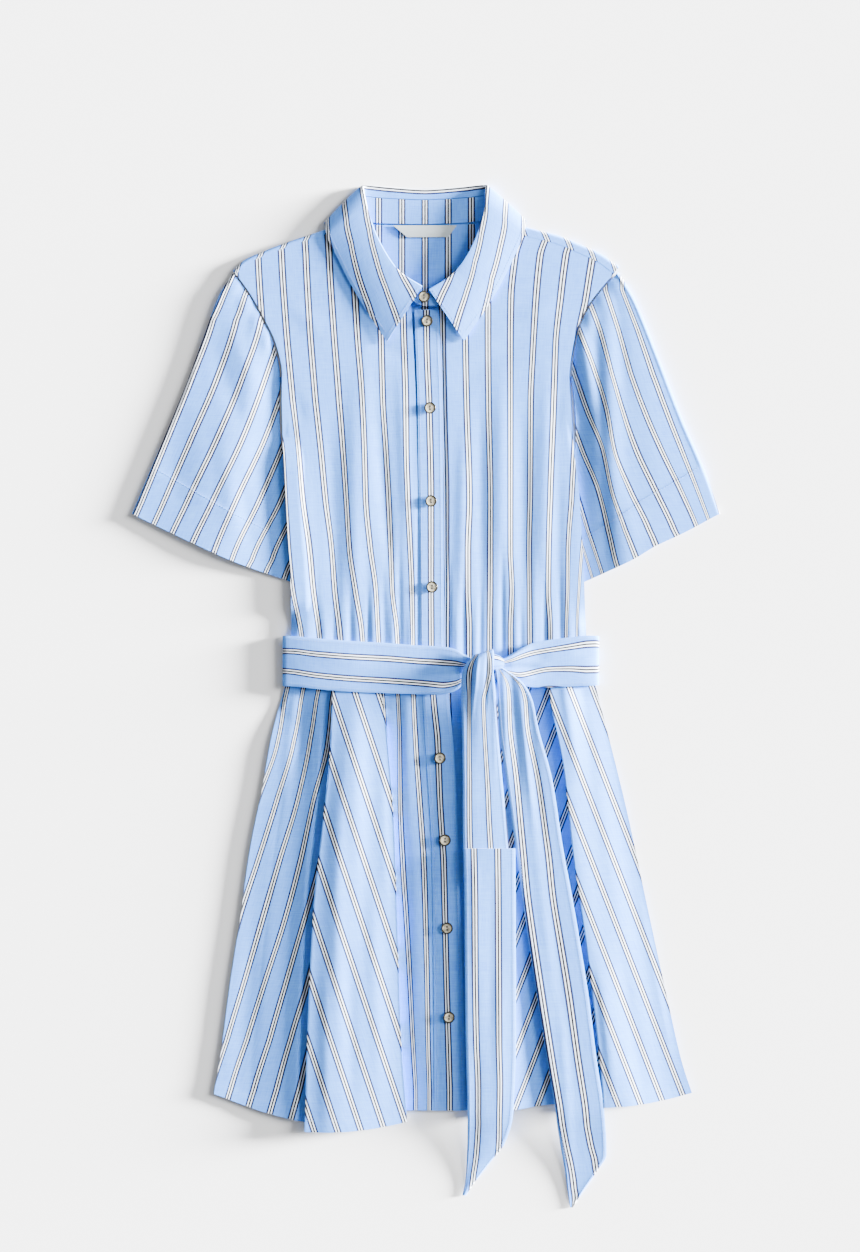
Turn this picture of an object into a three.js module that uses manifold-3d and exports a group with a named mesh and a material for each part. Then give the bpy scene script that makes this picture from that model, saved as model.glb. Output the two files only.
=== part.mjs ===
// A striped cotton shirt dress, laid flat on its back with its tie belt knotted in front.
// Millimetres. +X is to the right as seen from above, +Y towards the collar and +Z up.
// The origin is on the underside of the belt's back stretch, at the waist.
// "Right" and "left" in the names of pieces are the wearer's, so right is at -X.
import * as THREE from 'three';
import { mergeVertices } from 'three/addons/utils/BufferGeometryUtils.js';
import Module from 'manifold-3d';

const wasm = await Module();
wasm.setup();

// Driving sizes
const CLOTH = 1.0; // wall of one layer of cloth
const DOUBLED = 1.3; // wall of a collar, band or belt, which is two layers
const CLEAR = 0.4; // gap between pieces that touch
const LAID_CLEAR = 0.9; // gap between a front and the back that it lies on, at the sides
const SEAM = 0.35; // half of the gap that a seam leaves between two panels
const SHOULDER_GAP = 0.9; // from the back's folded edge to the front's edge
const WAIST_Y = -8;
const BELT = { left: -141, right: 163, low: -22, high: 28 }; // its back stretch
const SHOULDER_Z = 5.4; // middle of the wall along the shoulder seams
const SKIRT_TOP = -8.7; // the skirt's upper edge, a seam below the bodice
const SKIRT_HEM = -446.5; // the hem at the front edges
const BUTTON = {
  radius: 6, thickness: 2.4, rim: 0.5, rimWidth: 1.5, rounding: 0.5, hole: 0.8, holeOffset: 1.5,
};

const PI = Math.PI;
const lerp = THREE.MathUtils.lerp;
const clamp = THREE.MathUtils.clamp;
const step = (from, to, x) => THREE.MathUtils.smoothstep(x, Math.min(from, to), Math.max(from, to));

// Rows of numbers under named columns.
function table(names, rows) {
  const keys = names.split(' ');
  return rows.map((row) => Object.fromEntries(keys.map((key, i) => [key, row[i]])));
}

// The slope of a smooth line between two rises, which never carries it past its own points.
function easySlope(before, after) {
  return before * after > 0 ? (2 * before * after) / (before + after) : 0;
}

// A smooth value down one column of a table, from its first row at t = 0 to its last at t = 1.
function column(rows, key) {
  return (t) => {
    const place = clamp(t, 0, 1) * (rows.length - 1);
    const i = Math.min(Math.floor(place), rows.length - 2);
    const f = place - i;
    const value = (k) => rows[clamp(k, 0, rows.length - 1)][key];
    const [before, from, to, after] = [i - 1, i, i + 1, i + 2].map(value);
    const rise = to - from;
    const enter = i > 0 ? easySlope(from - before, rise) : rise;
    const leave = i < rows.length - 2 ? easySlope(rise, after - to) : rise;
    const f2 = f * f;
    const f3 = f2 * f;
    const ends = (2 * f3 - 3 * f2 + 1) * from + (3 * f2 - 2 * f3) * to;
    return ends + (f3 - 2 * f2 + f) * enter + (f3 - f2) * leave;
  };
}

// A smooth line through a table's x and y, run at even speed from t = 0 to 1.
const LINE_SAMPLES = 160;
function line(rows) {
  const x = column(rows, 'x');
  const y = column(rows, 'y');
  const reach = [0];
  for (let i = 1; i <= LINE_SAMPLES; i++) {
    const a = (i - 1) / LINE_SAMPLES;
    const b = i / LINE_SAMPLES;
    reach.push(reach[i - 1] + Math.hypot(x(b) - x(a), y(b) - y(a)));
  }
  return (t) => {
    const want = clamp(t, 0, 1) * reach[LINE_SAMPLES];
    let i = 1;
    while (i < LINE_SAMPLES && reach[i] < want) i++;
    const share = (want - reach[i - 1]) / (reach[i] - reach[i - 1]);
    const at = (i - 1 + clamp(share, 0, 1)) / LINE_SAMPLES;
    return new THREE.Vector2(x(at), y(at));
  };
}

// The same line moved sideways, to its left as it runs for a positive distance.
function offset(curve, distance) {
  const small = 0.01;
  return (t) => {
    const ahead = curve(Math.min(t + small, 1));
    const behind = curve(Math.max(t - small, 0));
    const along = ahead.sub(behind).normalize();
    const gap = typeof distance === 'function' ? distance(t) : distance;
    return curve(t).add(new THREE.Vector2(-along.y, along.x).multiplyScalar(gap));
  };
}

const reversed = (curve) => (t) => curve(1 - t);
const partOf = (curve, from, to) => (t) => curve(lerp(from, to, t));
const straight = (a, b) => (t) => a.clone().lerp(b, t);

// A line whose ends are drawn to two given points.
const pinned = (curve, start, end) => (t) => curve(t)
  .add(start.clone().sub(curve(0)).multiplyScalar(1 - t))
  .add(end.clone().sub(curve(1)).multiplyScalar(t));

// The flat area between four lines: low and high run with u, left and right run with v.
function patch(low, high, left, right) {
  const leftSide = pinned(left, low(0), high(0));
  const rightSide = pinned(right, low(1), high(1));
  return (u, v) => {
    const ruled = low(u).multiplyScalar(1 - v).add(high(u).multiplyScalar(v));
    const sides = leftSide(v).multiplyScalar(1 - u).add(rightSide(v).multiplyScalar(u));
    const corners = low(0).multiplyScalar((1 - u) * (1 - v)).add(low(1).multiplyScalar(u * (1 - v)))
      .add(high(0).multiplyScalar((1 - u) * v)).add(high(1).multiplyScalar(u * v));
    return ruled.add(sides).sub(corners);
  };
}

const evenly = (count) => Array.from({ length: count + 1 }, (_, i) => i / count);

// A closed wall of cloth round the middle surface that surface(u, v) gives. A ring closes on itself in u.
function wall(surface, us, vs, thickness, ring = false) {
  const cols = us.length;
  const rows = vs.length;
  const middle = vs.map((v) => us.map((u) => surface(u, v)));
  const at = (j, i) => middle[clamp(j, 0, rows - 1)][ring ? (i + cols) % cols : clamp(i, 0, cols - 1)];
  const positions = [];
  for (const side of [0.5, -0.5]) {
    for (let j = 0; j < rows; j++) {
      for (let i = 0; i < cols; i++) {
        const across = at(j, i + 1).clone().sub(at(j, i - 1));
        const down = at(j + 1, i).clone().sub(at(j - 1, i));
        const normal = across.cross(down).normalize();
        positions.push(...at(j, i).clone().addScaledVector(normal, side * thickness).toArray());
      }
    }
  }
  const front = (j, i) => j * cols + (i % cols);
  const back = (j, i) => rows * cols + front(j, i);
  const index = [];
  const quad = (a, b, c, d) => index.push(a, b, c, a, c, d);
  const spans = ring ? cols : cols - 1;
  for (let j = 0; j < rows - 1; j++) {
    for (let i = 0; i < spans; i++) {
      quad(front(j, i), front(j, i + 1), front(j + 1, i + 1), front(j + 1, i));
      quad(back(j, i), back(j + 1, i), back(j + 1, i + 1), back(j, i + 1));
    }
  }
  for (let i = 0; i < spans; i++) {
    quad(front(0, i), back(0, i), back(0, i + 1), front(0, i + 1));
    quad(front(rows - 1, i + 1), back(rows - 1, i + 1), back(rows - 1, i), front(rows - 1, i));
  }
  if (!ring) {
    for (let j = 0; j < rows - 1; j++) {
      quad(front(j, 0), front(j + 1, 0), back(j + 1, 0), back(j, 0));
      quad(front(j, spans), back(j, spans), back(j + 1, spans), front(j + 1, spans));
    }
  }
  return facingOut(positions, index);
}

// An indexed geometry, turned so that its faces point outwards.
function facingOut(positions, index) {
  const corner = (k) => new THREE.Vector3().fromArray(positions, index[k] * 3);
  let volume = 0;
  for (let k = 0; k < index.length; k += 3) {
    volume += corner(k).dot(corner(k + 1).cross(corner(k + 2)));
  }
  if (volume < 0) {
    for (let k = 0; k < index.length; k += 3) {
      [index[k], index[k + 1]] = [index[k + 1], index[k]];
    }
  }
  const geometry = new THREE.BufferGeometry();
  geometry.setAttribute('position', new THREE.Float32BufferAttribute(positions, 3));
  geometry.setIndex(index);
  return geometry;
}

function solidOf(geometry) {
  const bare = geometry.clone();
  bare.deleteAttribute('normal');
  bare.deleteAttribute('uv');
  const merged = mergeVertices(bare, 1e-4);
  const vertProperties = merged.attributes.position.array;
  const triVerts = new Uint32Array(merged.index.array);
  return new wasm.Manifold(new wasm.Mesh({ numProp: 3, vertProperties, triVerts }));
}

function geometryOf(solid) {
  const mesh = solid.getMesh();
  const geometry = new THREE.BufferGeometry();
  geometry.setAttribute('position', new THREE.Float32BufferAttribute(mesh.vertProperties, 3));
  geometry.setIndex([...mesh.triVerts]);
  return geometry;
}

// Outlines shared by the panels, as seen from above
const SIDE_RIGHT = line(table('x y', [
  [-139, WAIST_Y], [-139, 40], [-140, 84], [-144, 135], [-148, 202], [-150, 262],
]));
const SIDE_LEFT = line(table('x y', [
  [159, WAIST_Y], [156, 40], [155, 84], [151, 165], [146, 214], [143, 262],
]));
const ARMHOLE_RIGHT = line(table('x y', [
  [-150, 262], [-150, 289], [-156, 318], [-170, 347], [-184, 371], [-198, 389.6],
]));
const ARMHOLE_LEFT = line(table('x y', [
  [143, 262], [142, 287], [149, 330], [161, 357], [173, 373], [189, 391],
]));
// The fold along the top of each shoulder, from the sleeve to the neck
const SHOULDER_RIGHT = line(table('x y', [
  [-197, 393], [-187, 403], [-163, 414], [-139, 423], [-104, 434.5], [-79, 443.5],
]));
const SHOULDER_LEFT = line(table('x y', [
  [189, 397.2], [171, 410], [147, 421], [130, 428], [95, 437], [68.5, 444.5],
]));
const BACK_INSET = 1.8; // how far the back's sides lie inside the front's
const SEAM_INSET = { right: 4, left: 8 }; // how far each shoulder seam lies in front of its fold
// Where the collar stand is sewn to the front, from the shoulder to the centre
const NECK_RIGHT = line(table('x y', [[-77.6, 438.8], [-72, 422], [-56, 396], [-36, 371], [-18.4, 357.5]]));
const NECK_LEFT = line(table('x y', [[66, 435.6], [60.5, 420], [47, 394], [30, 369], [4, 355]]));
const BACK_NECK = line(table('x y', [[-77, 440], [-45, 439.3], [-5, 438.8], [40, 440], [67, 441]]));
// The buttoned band: its centre line and half its width, from the collar stand down to the hem
const BAND = table('y x half', [
  [352, -3.2, 12.3], [256, 0, 12.3], [163, 1, 12.3], [77, 1.6, 12.2], [19, 2, 12], [-28, 5.5, 13],
  [-94, 10.5, 14], [-176, 14.8, 13.4], [-264, 17, 14], [-353, 19, 15], [-446, 20, 15.6],
]);
const BAND_TOP = 354;
const BAND_UNDER = 9; // how far the lapped-under front reaches past the band's centre line

// A column of a table as a function of its own y column, which falls from row to row.
function byHeight(rows, key) {
  const value = column(rows, key);
  return (y) => {
    let i = 0;
    while (i < rows.length - 2 && rows[i + 1].y > y) i++;
    const share = clamp((rows[i].y - y) / (rows[i].y - rows[i + 1].y), 0, 1);
    return value((i + share) / (rows.length - 1));
  };
}
const bandX = byHeight(BAND, 'x');
const bandHalf = byHeight(BAND, 'half');

// The body's sides as functions of height
const sideRows = (curve) => evenly(12).map((t) => curve(1 - t)).map((p) => ({ x: p.x, y: p.y }));
const sideRightX = byHeight(sideRows(SIDE_RIGHT), 'x');
const sideLeftX = byHeight(sideRows(SIDE_LEFT), 'x');
const fromSide = (x, y) => Math.min(x - sideRightX(y), sideLeftX(y) - x);

// Middle of the back's wall above the table: it rises over the belt, the collar and the sleeves' undersides.
const BELT_RISE = 1.6;
const COLLAR_RISE = 1.7;
const SLEEVE_RISE = 2.9;
// How far beyond the belt's edges the rise over it is still full, and how far beyond them it ends
const BELT_EASE = { near: 3, far: 13 };
function backZ(x, y) {
  const aboveLow = step(BELT.low - BELT_EASE.far, BELT.low - BELT_EASE.near, y);
  const belowHigh = 1 - step(BELT.high + BELT_EASE.near, BELT.high + BELT_EASE.far, y);
  const belt = BELT_RISE * aboveLow * belowHigh;
  const collar = COLLAR_RISE * step(370, 392, y) * (1 - step(106, 124, Math.abs(x + 5)));
  const beside = step(38, 62, y) * (1 - step(226, 258, y)) * (1 - step(14, 34, fromSide(x, y)));
  return CLOTH / 2 + Math.max(belt, collar, SLEEVE_RISE * beside);
}

// Gathers: uneven folds that run up from the waist seam, and long soft folds over the chest. A wave is a
// length per radian, and the drifts make the gathers uneven.
const GATHER = { height: 0.85, wave: 2.9, top: 96, leftAtTop: 0.03 };
const DRIFT = { across: 4, acrossWave: 19, lean: 0.02, leanWave: 31, phase: 0.8, phaseWave: 47 };
const CHEST_FOLD = { height: 0.25, wave: 26, leanWave: 190, low: 20, high: 120 };
function gathers(x, y) {
  const fade = 1 - step(WAIST_Y, GATHER.top, y) * (1 - GATHER.leftAtTop);
  const lean = DRIFT.lean * y * Math.sin(x / DRIFT.leanWave);
  const place = x + DRIFT.across * Math.sin(x / DRIFT.acrossWave) + lean;
  const phase = DRIFT.phase * Math.sin(x / DRIFT.phaseWave);
  return GATHER.height * fade * Math.sin(place / GATHER.wave + phase);
}
function chestFolds(x, y) {
  const wave = Math.sin(x / CHEST_FOLD.wave + y / CHEST_FOLD.leanWave);
  return CHEST_FOLD.height * wave * step(CHEST_FOLD.low, CHEST_FOLD.high, y);
}

// Middle of the front's wall
const FRONT_LEVEL = table('y z', [[400, 5.4], [330, 5.3], [250, 5.2], [170, 5.2], [90, 5.4], [-8, 6.2]]);
const frontLevel = byHeight(FRONT_LEVEL, 'z');
function frontZ(x, y) {
  const calm = (1 - step(330, 380, y)) * step(4, 30, fromSide(x, y));
  const level = frontLevel(y) + calm * chestFolds(x, y);
  const open = Math.max(step(-2, 15, fromSide(x, y)), step(236, 280, y));
  const edge = backZ(x, y) + CLOTH + LAID_CLEAR;
  const settled = lerp(edge, Math.max(level, edge), open);
  return settled + gathers(x, y) * step(2, 16, fromSide(x, y));
}

// How far the lapped-under edge of the front lies below the edge that covers it
const UNDERLAP = 1.85;
function underlap(x, y) {
  const past = x - (bandX(y) + bandHalf(y));
  return UNDERLAP * (1 - step(2, 22, past));
}

const onSurface = (area, height) => (u, v) => {
  const p = area(u, v);
  return new THREE.Vector3(p.x, p.y, height(p.x, p.y));
};

// Lines run one after another. Each part is a line and its share of t.
function chain(parts) {
  const total = parts.reduce((sum, [, share]) => sum + share, 0);
  return (t) => {
    let from = 0;
    for (const [curve, share] of parts) {
      const to = from + share / total;
      if (t <= to + 1e-9) return curve(clamp((t - from) / (to - from), 0, 1));
      from = to;
    }
    return parts.at(-1)[0](1);
  };
}
const SIDE_SHARE = 0.62; // of a body side, up to the armhole
const bodySide = (side, armhole) => chain([[side, SIDE_SHARE], [armhole, 1 - SIDE_SHARE]]);

// Bodice
const bandLine = (side, low, high, gap) => (v) => {
  const y = lerp(low, high, v);
  return new THREE.Vector2(bandX(y) + side * (bandHalf(y) + gap), y);
};

const lappedEdge = (low, high) => (v) => {
  const y = lerp(low, high, v);
  return new THREE.Vector2(bandX(y) - BAND_UNDER, y);
};

const BODICE_ROWS = [0, 0.04, 0.08, 0.12, 0.165, 0.22, 0.3, 0.4, 0.49, 0.55, 0.62, 0.7, 0.79, 0.89, 1];

function frontRight() {
  const seam = offset(SHOULDER_RIGHT, -SEAM_INSET.right - SHOULDER_GAP);
  const cut = bandLine(-1, WAIST_Y, BAND_TOP + 1, 2 * SEAM);
  const top = chain([[seam, 12], [NECK_RIGHT, 10]]);
  const low = straight(SIDE_RIGHT(0), cut(0));
  const area = patch(low, top, bodySide(SIDE_RIGHT, ARMHOLE_RIGHT), cut);
  return wall(onSurface(area, frontZ), evenly(22), BODICE_ROWS, CLOTH);
}

function frontLeft() {
  const seam = offset(SHOULDER_LEFT, SEAM_INSET.left + SHOULDER_GAP);
  const inner = lappedEdge(WAIST_Y, BAND_TOP);
  const lap = straight(inner(1), NECK_LEFT(1));
  const top = chain([[lap, 2], [reversed(NECK_LEFT), 10], [reversed(seam), 12]]);
  const low = straight(inner(0), SIDE_LEFT(0));
  const height = (x, y) => frontZ(x, y) - underlap(x, y);
  const area = patch(low, top, inner, bodySide(SIDE_LEFT, ARMHOLE_LEFT));
  return wall(onSurface(area, height), evenly(24), BODICE_ROWS, CLOTH);
}

// The band along the front edge, of two layers, on the bodice or on the skirt
const BAND_ROWS = 14;
function band(low, high, height) {
  const left = bandLine(-1, low, high, 0);
  const right = bandLine(1, low, high, 0);
  const area = (u, v) => left(v).lerp(right(v), u);
  return wall(onSurface(area, height), evenly(4), evenly(BAND_ROWS), DOUBLED);
}

function backBodice() {
  const left = bodySide(SIDE_RIGHT, ARMHOLE_RIGHT);
  const right = bodySide(SIDE_LEFT, ARMHOLE_LEFT);
  const foldRight = offset(SHOULDER_RIGHT, -FOLD_START);
  const foldLeft = offset(SHOULDER_LEFT, FOLD_START);
  const top = chain([[foldRight, 5], [BACK_NECK, 5], [reversed(foldLeft), 5]]);
  const inwards = new THREE.Vector2(BACK_INSET, 0);
  const inset = (curve, side) => (v) => curve(v).addScaledVector(inwards, side);
  const low = straight(SIDE_RIGHT(0).add(inwards), SIDE_LEFT(0).sub(inwards));
  const area = patch(low, top, inset(left, 1), inset(right, -1));
  const flat = wall(onSurface(area, backZ), evenly(15), BODICE_ROWS, CLOTH);
  const overRight = shoulderFold(SHOULDER_RIGHT, -1, SEAM_INSET.right);
  const overLeft = shoulderFold(SHOULDER_LEFT, 1, SEAM_INSET.left);
  return geometryOf(solidOf(flat).add(solidOf(overRight)).add(solidOf(overLeft)));
}

// The back's cloth as it turns over the shoulder to the seam in front. side is the way in from the fold.
const FOLD_START = 4; // where the flat back ends and its turn over the shoulder starts
const FOLD_LAP = 7; // where the turn's own lower leg starts, well inside the flat back
function shoulderFold(fold, side, seamInset) {
  const turn = [-90, -45, 0, 45, 90];
  const surface = (u, k) => {
    const p = fold(u);
    const low = backZ(p.x, p.y);
    const radius = (SHOULDER_Z - low) / 2;
    const inwards = offset(fold, side)(u).sub(p).normalize();
    const angle = (turn[clamp(k - 1, 0, turn.length - 1)] * PI) / 180;
    let inset = radius - radius * Math.cos(angle);
    if (k === 0) inset = FOLD_LAP;
    if (k > turn.length) inset = Math.max(radius + CLEAR, seamInset);
    const place = p.add(inwards.multiplyScalar(inset));
    return new THREE.Vector3(place.x, place.y, low + radius + radius * Math.sin(angle));
  };
  const ends = 0.012; // share of the shoulder left free at each end
  const along = evenly(8).map((t) => lerp(ends, 1 - ends, t));
  return wall(surface, along, [0, ...turn, turn.length].map((_, k) => k), CLOTH);
}

// Sleeves: flattened tubes from the armhole to the cuff. t runs from the top edge to the underarm edge.
const ARMHOLE_GAP = 0.7; // from the body's armhole edge to the sleeve's
const UNDERARM_SHARE = 0.18; // of the armhole, which lies over the sleeve's underarm edge
const SLEEVES = {
  right: {
    armhole: reversed(offset(partOf(ARMHOLE_RIGHT, UNDERARM_SHARE, 1), ARMHOLE_GAP)),
    top: line(table('x y', [
      [-200.5, 390], [-213, 370], [-230, 323], [-245, 281], [-262, 238], [-280, 194], [-298, 150],
    ])),
    under: line(table('x y', [
      [-150.9, 287], [-151.8, 262], [-151.2, 238], [-149.6, 220], [-143, 192], [-137, 140], [-129.5, 78.3],
    ])),
    cuff: line(table('x y', [[-298, 150], [-237, 121], [-194, 102], [-140, 83], [-129, 78]])),
  },
  left: {
    armhole: reversed(offset(partOf(ARMHOLE_LEFT, UNDERARM_SHARE, 1), -ARMHOLE_GAP)),
    top: line(table('x y', [
      [192.5, 393], [207, 369], [231, 308], [243, 275], [255, 243], [274, 197], [290, 150],
    ])),
    under: line(table('x y', [
      [143, 285], [145.6, 262], [147, 238], [147.2, 220], [141, 192], [142, 140], [144.4, 78.3],
    ])),
    cuff: line(table('x y', [[290, 150], [255, 131.5], [226, 118], [204, 105], [156, 83], [144, 78]])),
  },
};
const SLEEVE_FLAT = 1.5; // height of the sleeve's upper layer over its lower one at the underarm
const SLEEVE_LEVEL = 4.3; // the same below the shoulder
const SLEEVE_SWELL = 0.3; // how much higher its middle is than its ends
const SLEEVE_FOLD = { height: 0.3, across: 9, along: 3 }; // radians across and along the sleeve
const SLEEVE_ACROSS = 11; // steps across each layer
const SLEEVE_TURN = 4; // steps round each edge, from the lower layer to the upper one
const SLEEVE_ROWS = [0, 0.08, 0.2, 0.34, 0.5, 0.66, 0.82, 1];

// A sleeve's section runs across its lower layer, round the underarm edge, back across the upper layer and
// round the top edge. phase moves its soft folds.
function sleeve({ armhole, top, under, cuff }, phase) {
  const area = patch(armhole, cuff, top, under);
  const rise = (t, s) => {
    const level = lerp(SHOULDER_Z - CLOTH / 2, SLEEVE_LEVEL, step(0, 0.4, s));
    const swell = level + SLEEVE_SWELL * Math.sin(PI * s);
    const wave = Math.sin(SLEEVE_FOLD.across * t + SLEEVE_FOLD.along * s + phase);
    const folds = SLEEVE_FOLD.height * wave * step(0, 0.3, s) * Math.sin(PI * t);
    return lerp(swell, SLEEVE_FLAT, step(0.62, 0.93, t)) + folds * (1 - step(0.6, 0.85, t));
  };
  const inner = evenly(SLEEVE_TURN).slice(1, -1);
  const stations = [
    ...evenly(SLEEVE_ACROSS).map((t) => ({ t, layer: 0 })),
    ...inner.map((f) => ({ t: 1, angle: f * PI })),
    ...evenly(SLEEVE_ACROSS).reverse().map((t) => ({ t, layer: 1 })),
    ...inner.map((f) => ({ t: 0, angle: (1 + f) * PI })),
  ];
  const surface = (index, s) => {
    const { t, layer, angle } = stations[index];
    const edgeTurn = (end) => awayFrom(area, end, s).multiplyScalar(rise(end, s) / 2);
    const [fromTop, fromUnder] = [0, 1].map(edgeTurn);
    const p = area(t, s).addScaledVector(fromTop, t - 1).addScaledVector(fromUnder, -t);
    if (angle === undefined) return new THREE.Vector3(p.x, p.y, CLOTH / 2 + layer * rise(t, s));
    p.addScaledVector(t === 1 ? fromUnder : fromTop, Math.abs(Math.sin(angle)));
    return new THREE.Vector3(p.x, p.y, CLOTH / 2 + (rise(t, s) / 2) * (1 - Math.cos(angle)));
  };
  return wall(surface, stations.map((_, i) => i), SLEEVE_ROWS, CLOTH, true);
}

// The level direction square to an area's side edge at u = end, away from the area
function awayFrom(area, end, v) {
  const small = 0.01;
  const along = area(end, Math.min(v + small, 1)).sub(area(end, Math.max(v - small, 0))).normalize();
  const square = new THREE.Vector2(-along.y, along.x);
  const outwards = area(end, v).sub(area(1 - end, v));
  return square.dot(outwards) > 0 ? square : square.negate();
}

// Skirt: gores whose fullness lies in two folds on each side of the centre
const OUTLINE_RIGHT = line(table('x y', [
  [-141, SKIRT_TOP], [-146, -26], [-158, -71], [-168, -126], [-180, -186], [-190, -256], [-200, -321],
  [-208, -381], [-216, -430],
]));
const OUTLINE_LEFT = line(table('x y', [
  [161, SKIRT_TOP], [165, -20], [176, -62], [197, -147], [216, -236], [234, -319], [252, -398], [262, -429],
]));
// Edges of the fold at -X, from the waist to the hem
const FLUTE_OUTER = line(table('x y', [
  [-97, SKIRT_TOP], [-99, -73], [-108, -166], [-116, -240], [-122, -361], [-125, -467],
]));
const FLUTE_INNER = line(table('x y', [
  [-52, SKIRT_TOP], [-46, -46], [-36, -166], [-33, -256], [-29, -376], [-23, -457],
]));
// Edges of the two folds at +X
const VALLEY_INNER = line(table('x y', [[58, SKIRT_TOP], [58, -90], [59, -200], [60, -330], [61, -451]]));
const VALLEY_OUTER = line(table('x y', [
  [118, SKIRT_TOP], [121, -40], [133, -100], [143, -190], [157, -287], [167, -372], [174, -443],
]));
const HEMS = {
  sideRight: line(table('x y', [[-216, -430], [-166, -448], [-125, -458], [-104, -461]])),
  back: line(table('x y', [[-213, -427], [-125, -438], [0, -441], [122, -433], [259, -426]])),
};

// Depth of a fold's hidden return and heights of its layers, from the waist, 0, to the hem, 1
const returnDepth = (s) => lerp(4.5, 20, s);
const sideUnderZ = (s) => lerp(3.7, 2.2, step(0, 0.14, s));
const returnZ = (s) => sideUnderZ(s) + 1.5;
const foldZ = (s) => lerp(7.6, 8.6, step(0, 0.85, s));

// Middle of the centre panel's wall, with a long soft wave down it
const CENTRE = { waist: 6.2, skirt: 5, settled: -90, height: 0.25, wave: 70 };
function skirtFrontZ(x, y) {
  const level = lerp(CENTRE.waist, CENTRE.skirt, step(WAIST_Y, CENTRE.settled, y));
  return level + CENTRE.height * Math.sin(y / CENTRE.wave);
}

const SKIRT_ROWS = [0, 0.03, 0.07, 0.13, 0.22, 0.34, 0.47, 0.6, 0.74, 0.87, 1];

const SIDE_SWELL = 1.6; // how far the right side panel rises between its edges at the hem
const SWELL_SHARE = 0.87; // of its width, up to where the gore covers it
const SIDE_FOLD = { height: 0.5, across: 5 }; // a soft fold down it, in radians across
function skirtSideRight() {
  const inner = offset(FLUTE_OUTER, returnDepth);
  const area = patch(straight(OUTLINE_RIGHT(0), inner(0)), HEMS.sideRight, OUTLINE_RIGHT, inner);
  const surface = (u, s) => {
    const p = area(u, s);
    const fromEdge = p.x - OUTLINE_RIGHT(s).x;
    const swell = SIDE_SWELL * Math.sin(PI * Math.min(u / SWELL_SHARE, 1));
    const fold = SIDE_FOLD.height * Math.sin(SIDE_FOLD.across * u) * (1 - u);
    const level = sideUnderZ(s) + s * (swell + fold);
    const edge = backZ(p.x, p.y) + CLOTH + LAID_CLEAR;
    return new THREE.Vector3(p.x, p.y, lerp(edge, Math.max(level, edge), step(-2, 14, fromEdge)));
  };
  return wall(surface, evenly(14), SKIRT_ROWS, CLOTH);
}

// A gore whose edge turns under. Seen from the hem, it comes out from under itself, turns and runs across
// from the line outer to the line inner. With isFlute it turns under there too. top(u, s) is its height on
// the way across, and hemBow is how far the middle of its hem hangs below the ends.
const TURN_STEPS = 4;
const ACROSS_STEPS = 8;
function foldedGore({ outer, inner, top, hemBow, isFlute }) {
  const turnAt = (end) => evenly(TURN_STEPS).map((f) => ({ kind: 'turn', end, angle: (f - 0.5) * PI }));
  const firstTurn = [{ kind: 'return', end: 0 }, ...turnAt(0)];
  const lastTurn = [...turnAt(1).reverse(), { kind: 'return', end: 1 }];
  const across = evenly(ACROSS_STEPS).slice(1, isFlute ? -1 : undefined).map((u) => ({ kind: 'top', u }));
  const stations = [...firstTurn, ...across, ...(isFlute ? lastTurn : [])];
  const surface = (index, s) => {
    const { kind, end, angle, u } = stations[index];
    const from = outer(s);
    const to = inner(s);
    if (kind === 'top') {
      const p = from.clone().lerp(to, u);
      const hang = 4 * hemBow * u * (1 - u) * step(0.6, 1, s);
      return new THREE.Vector3(p.x, p.y - hang, top(u, s));
    }
    const low = returnZ(s);
    const radius = (top(end, s) - low) / 2;
    const isReturn = kind === 'return';
    const reach = isReturn ? returnDepth(s) : radius * (1 - Math.cos(angle));
    const height = isReturn ? 0 : radius + radius * Math.sin(angle);
    const inwards = to.clone().sub(from).normalize().multiplyScalar(end === 0 ? reach : -reach);
    const p = (end === 0 ? from : to).clone().add(inwards);
    return new THREE.Vector3(p.x, p.y, low + height);
  };
  return wall(surface, stations.map((_, i) => i), SKIRT_ROWS, CLOTH);
}

const FLUTE_SWELL = 1.4; // how much higher the fold's middle is than its edges at the hem
function skirtGoreRight() {
  const top = (u, s) => foldZ(s) + FLUTE_SWELL * s * Math.sin(PI * u);
  return foldedGore({ outer: FLUTE_OUTER, inner: FLUTE_INNER, top, hemBow: 4, isFlute: true });
}

function skirtCentreRight() {
  const outer = offset(FLUTE_INNER, (s) => 2 * SEAM - returnDepth(s));
  const inner = bandLine(-1, SKIRT_TOP, SKIRT_HEM, 2 * SEAM);
  const hem = straight(new THREE.Vector2(outer(1).x, SKIRT_HEM), inner(1));
  const area = patch(straight(outer(0), inner(0)), hem, outer, inner);
  const surface = (u, s) => {
    const p = area(u, s);
    const rise = step(-6, 26, p.x - FLUTE_INNER(s).x);
    return new THREE.Vector3(p.x, p.y, lerp(sideUnderZ(s), skirtFrontZ(p.x, p.y), rise));
  };
  return wall(surface, evenly(8), SKIRT_ROWS, CLOTH);
}

function skirtCentreLeft() {
  const outer = lappedEdge(SKIRT_TOP, SKIRT_HEM);
  const inner = offset(VALLEY_INNER, (s) => returnDepth(s) - 2 * SEAM);
  const hem = straight(outer(1), new THREE.Vector2(inner(1).x, SKIRT_HEM));
  const area = patch(straight(outer(0), inner(0)), hem, outer, inner);
  const surface = (u, s) => {
    const p = area(u, s);
    const under = skirtFrontZ(p.x, p.y) - UNDERLAP;
    const fall = step(-30, 0, p.x - VALLEY_INNER(s).x);
    return new THREE.Vector3(p.x, p.y, lerp(under, sideUnderZ(s), fall));
  };
  return wall(surface, evenly(8), SKIRT_ROWS, CLOTH);
}

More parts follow.
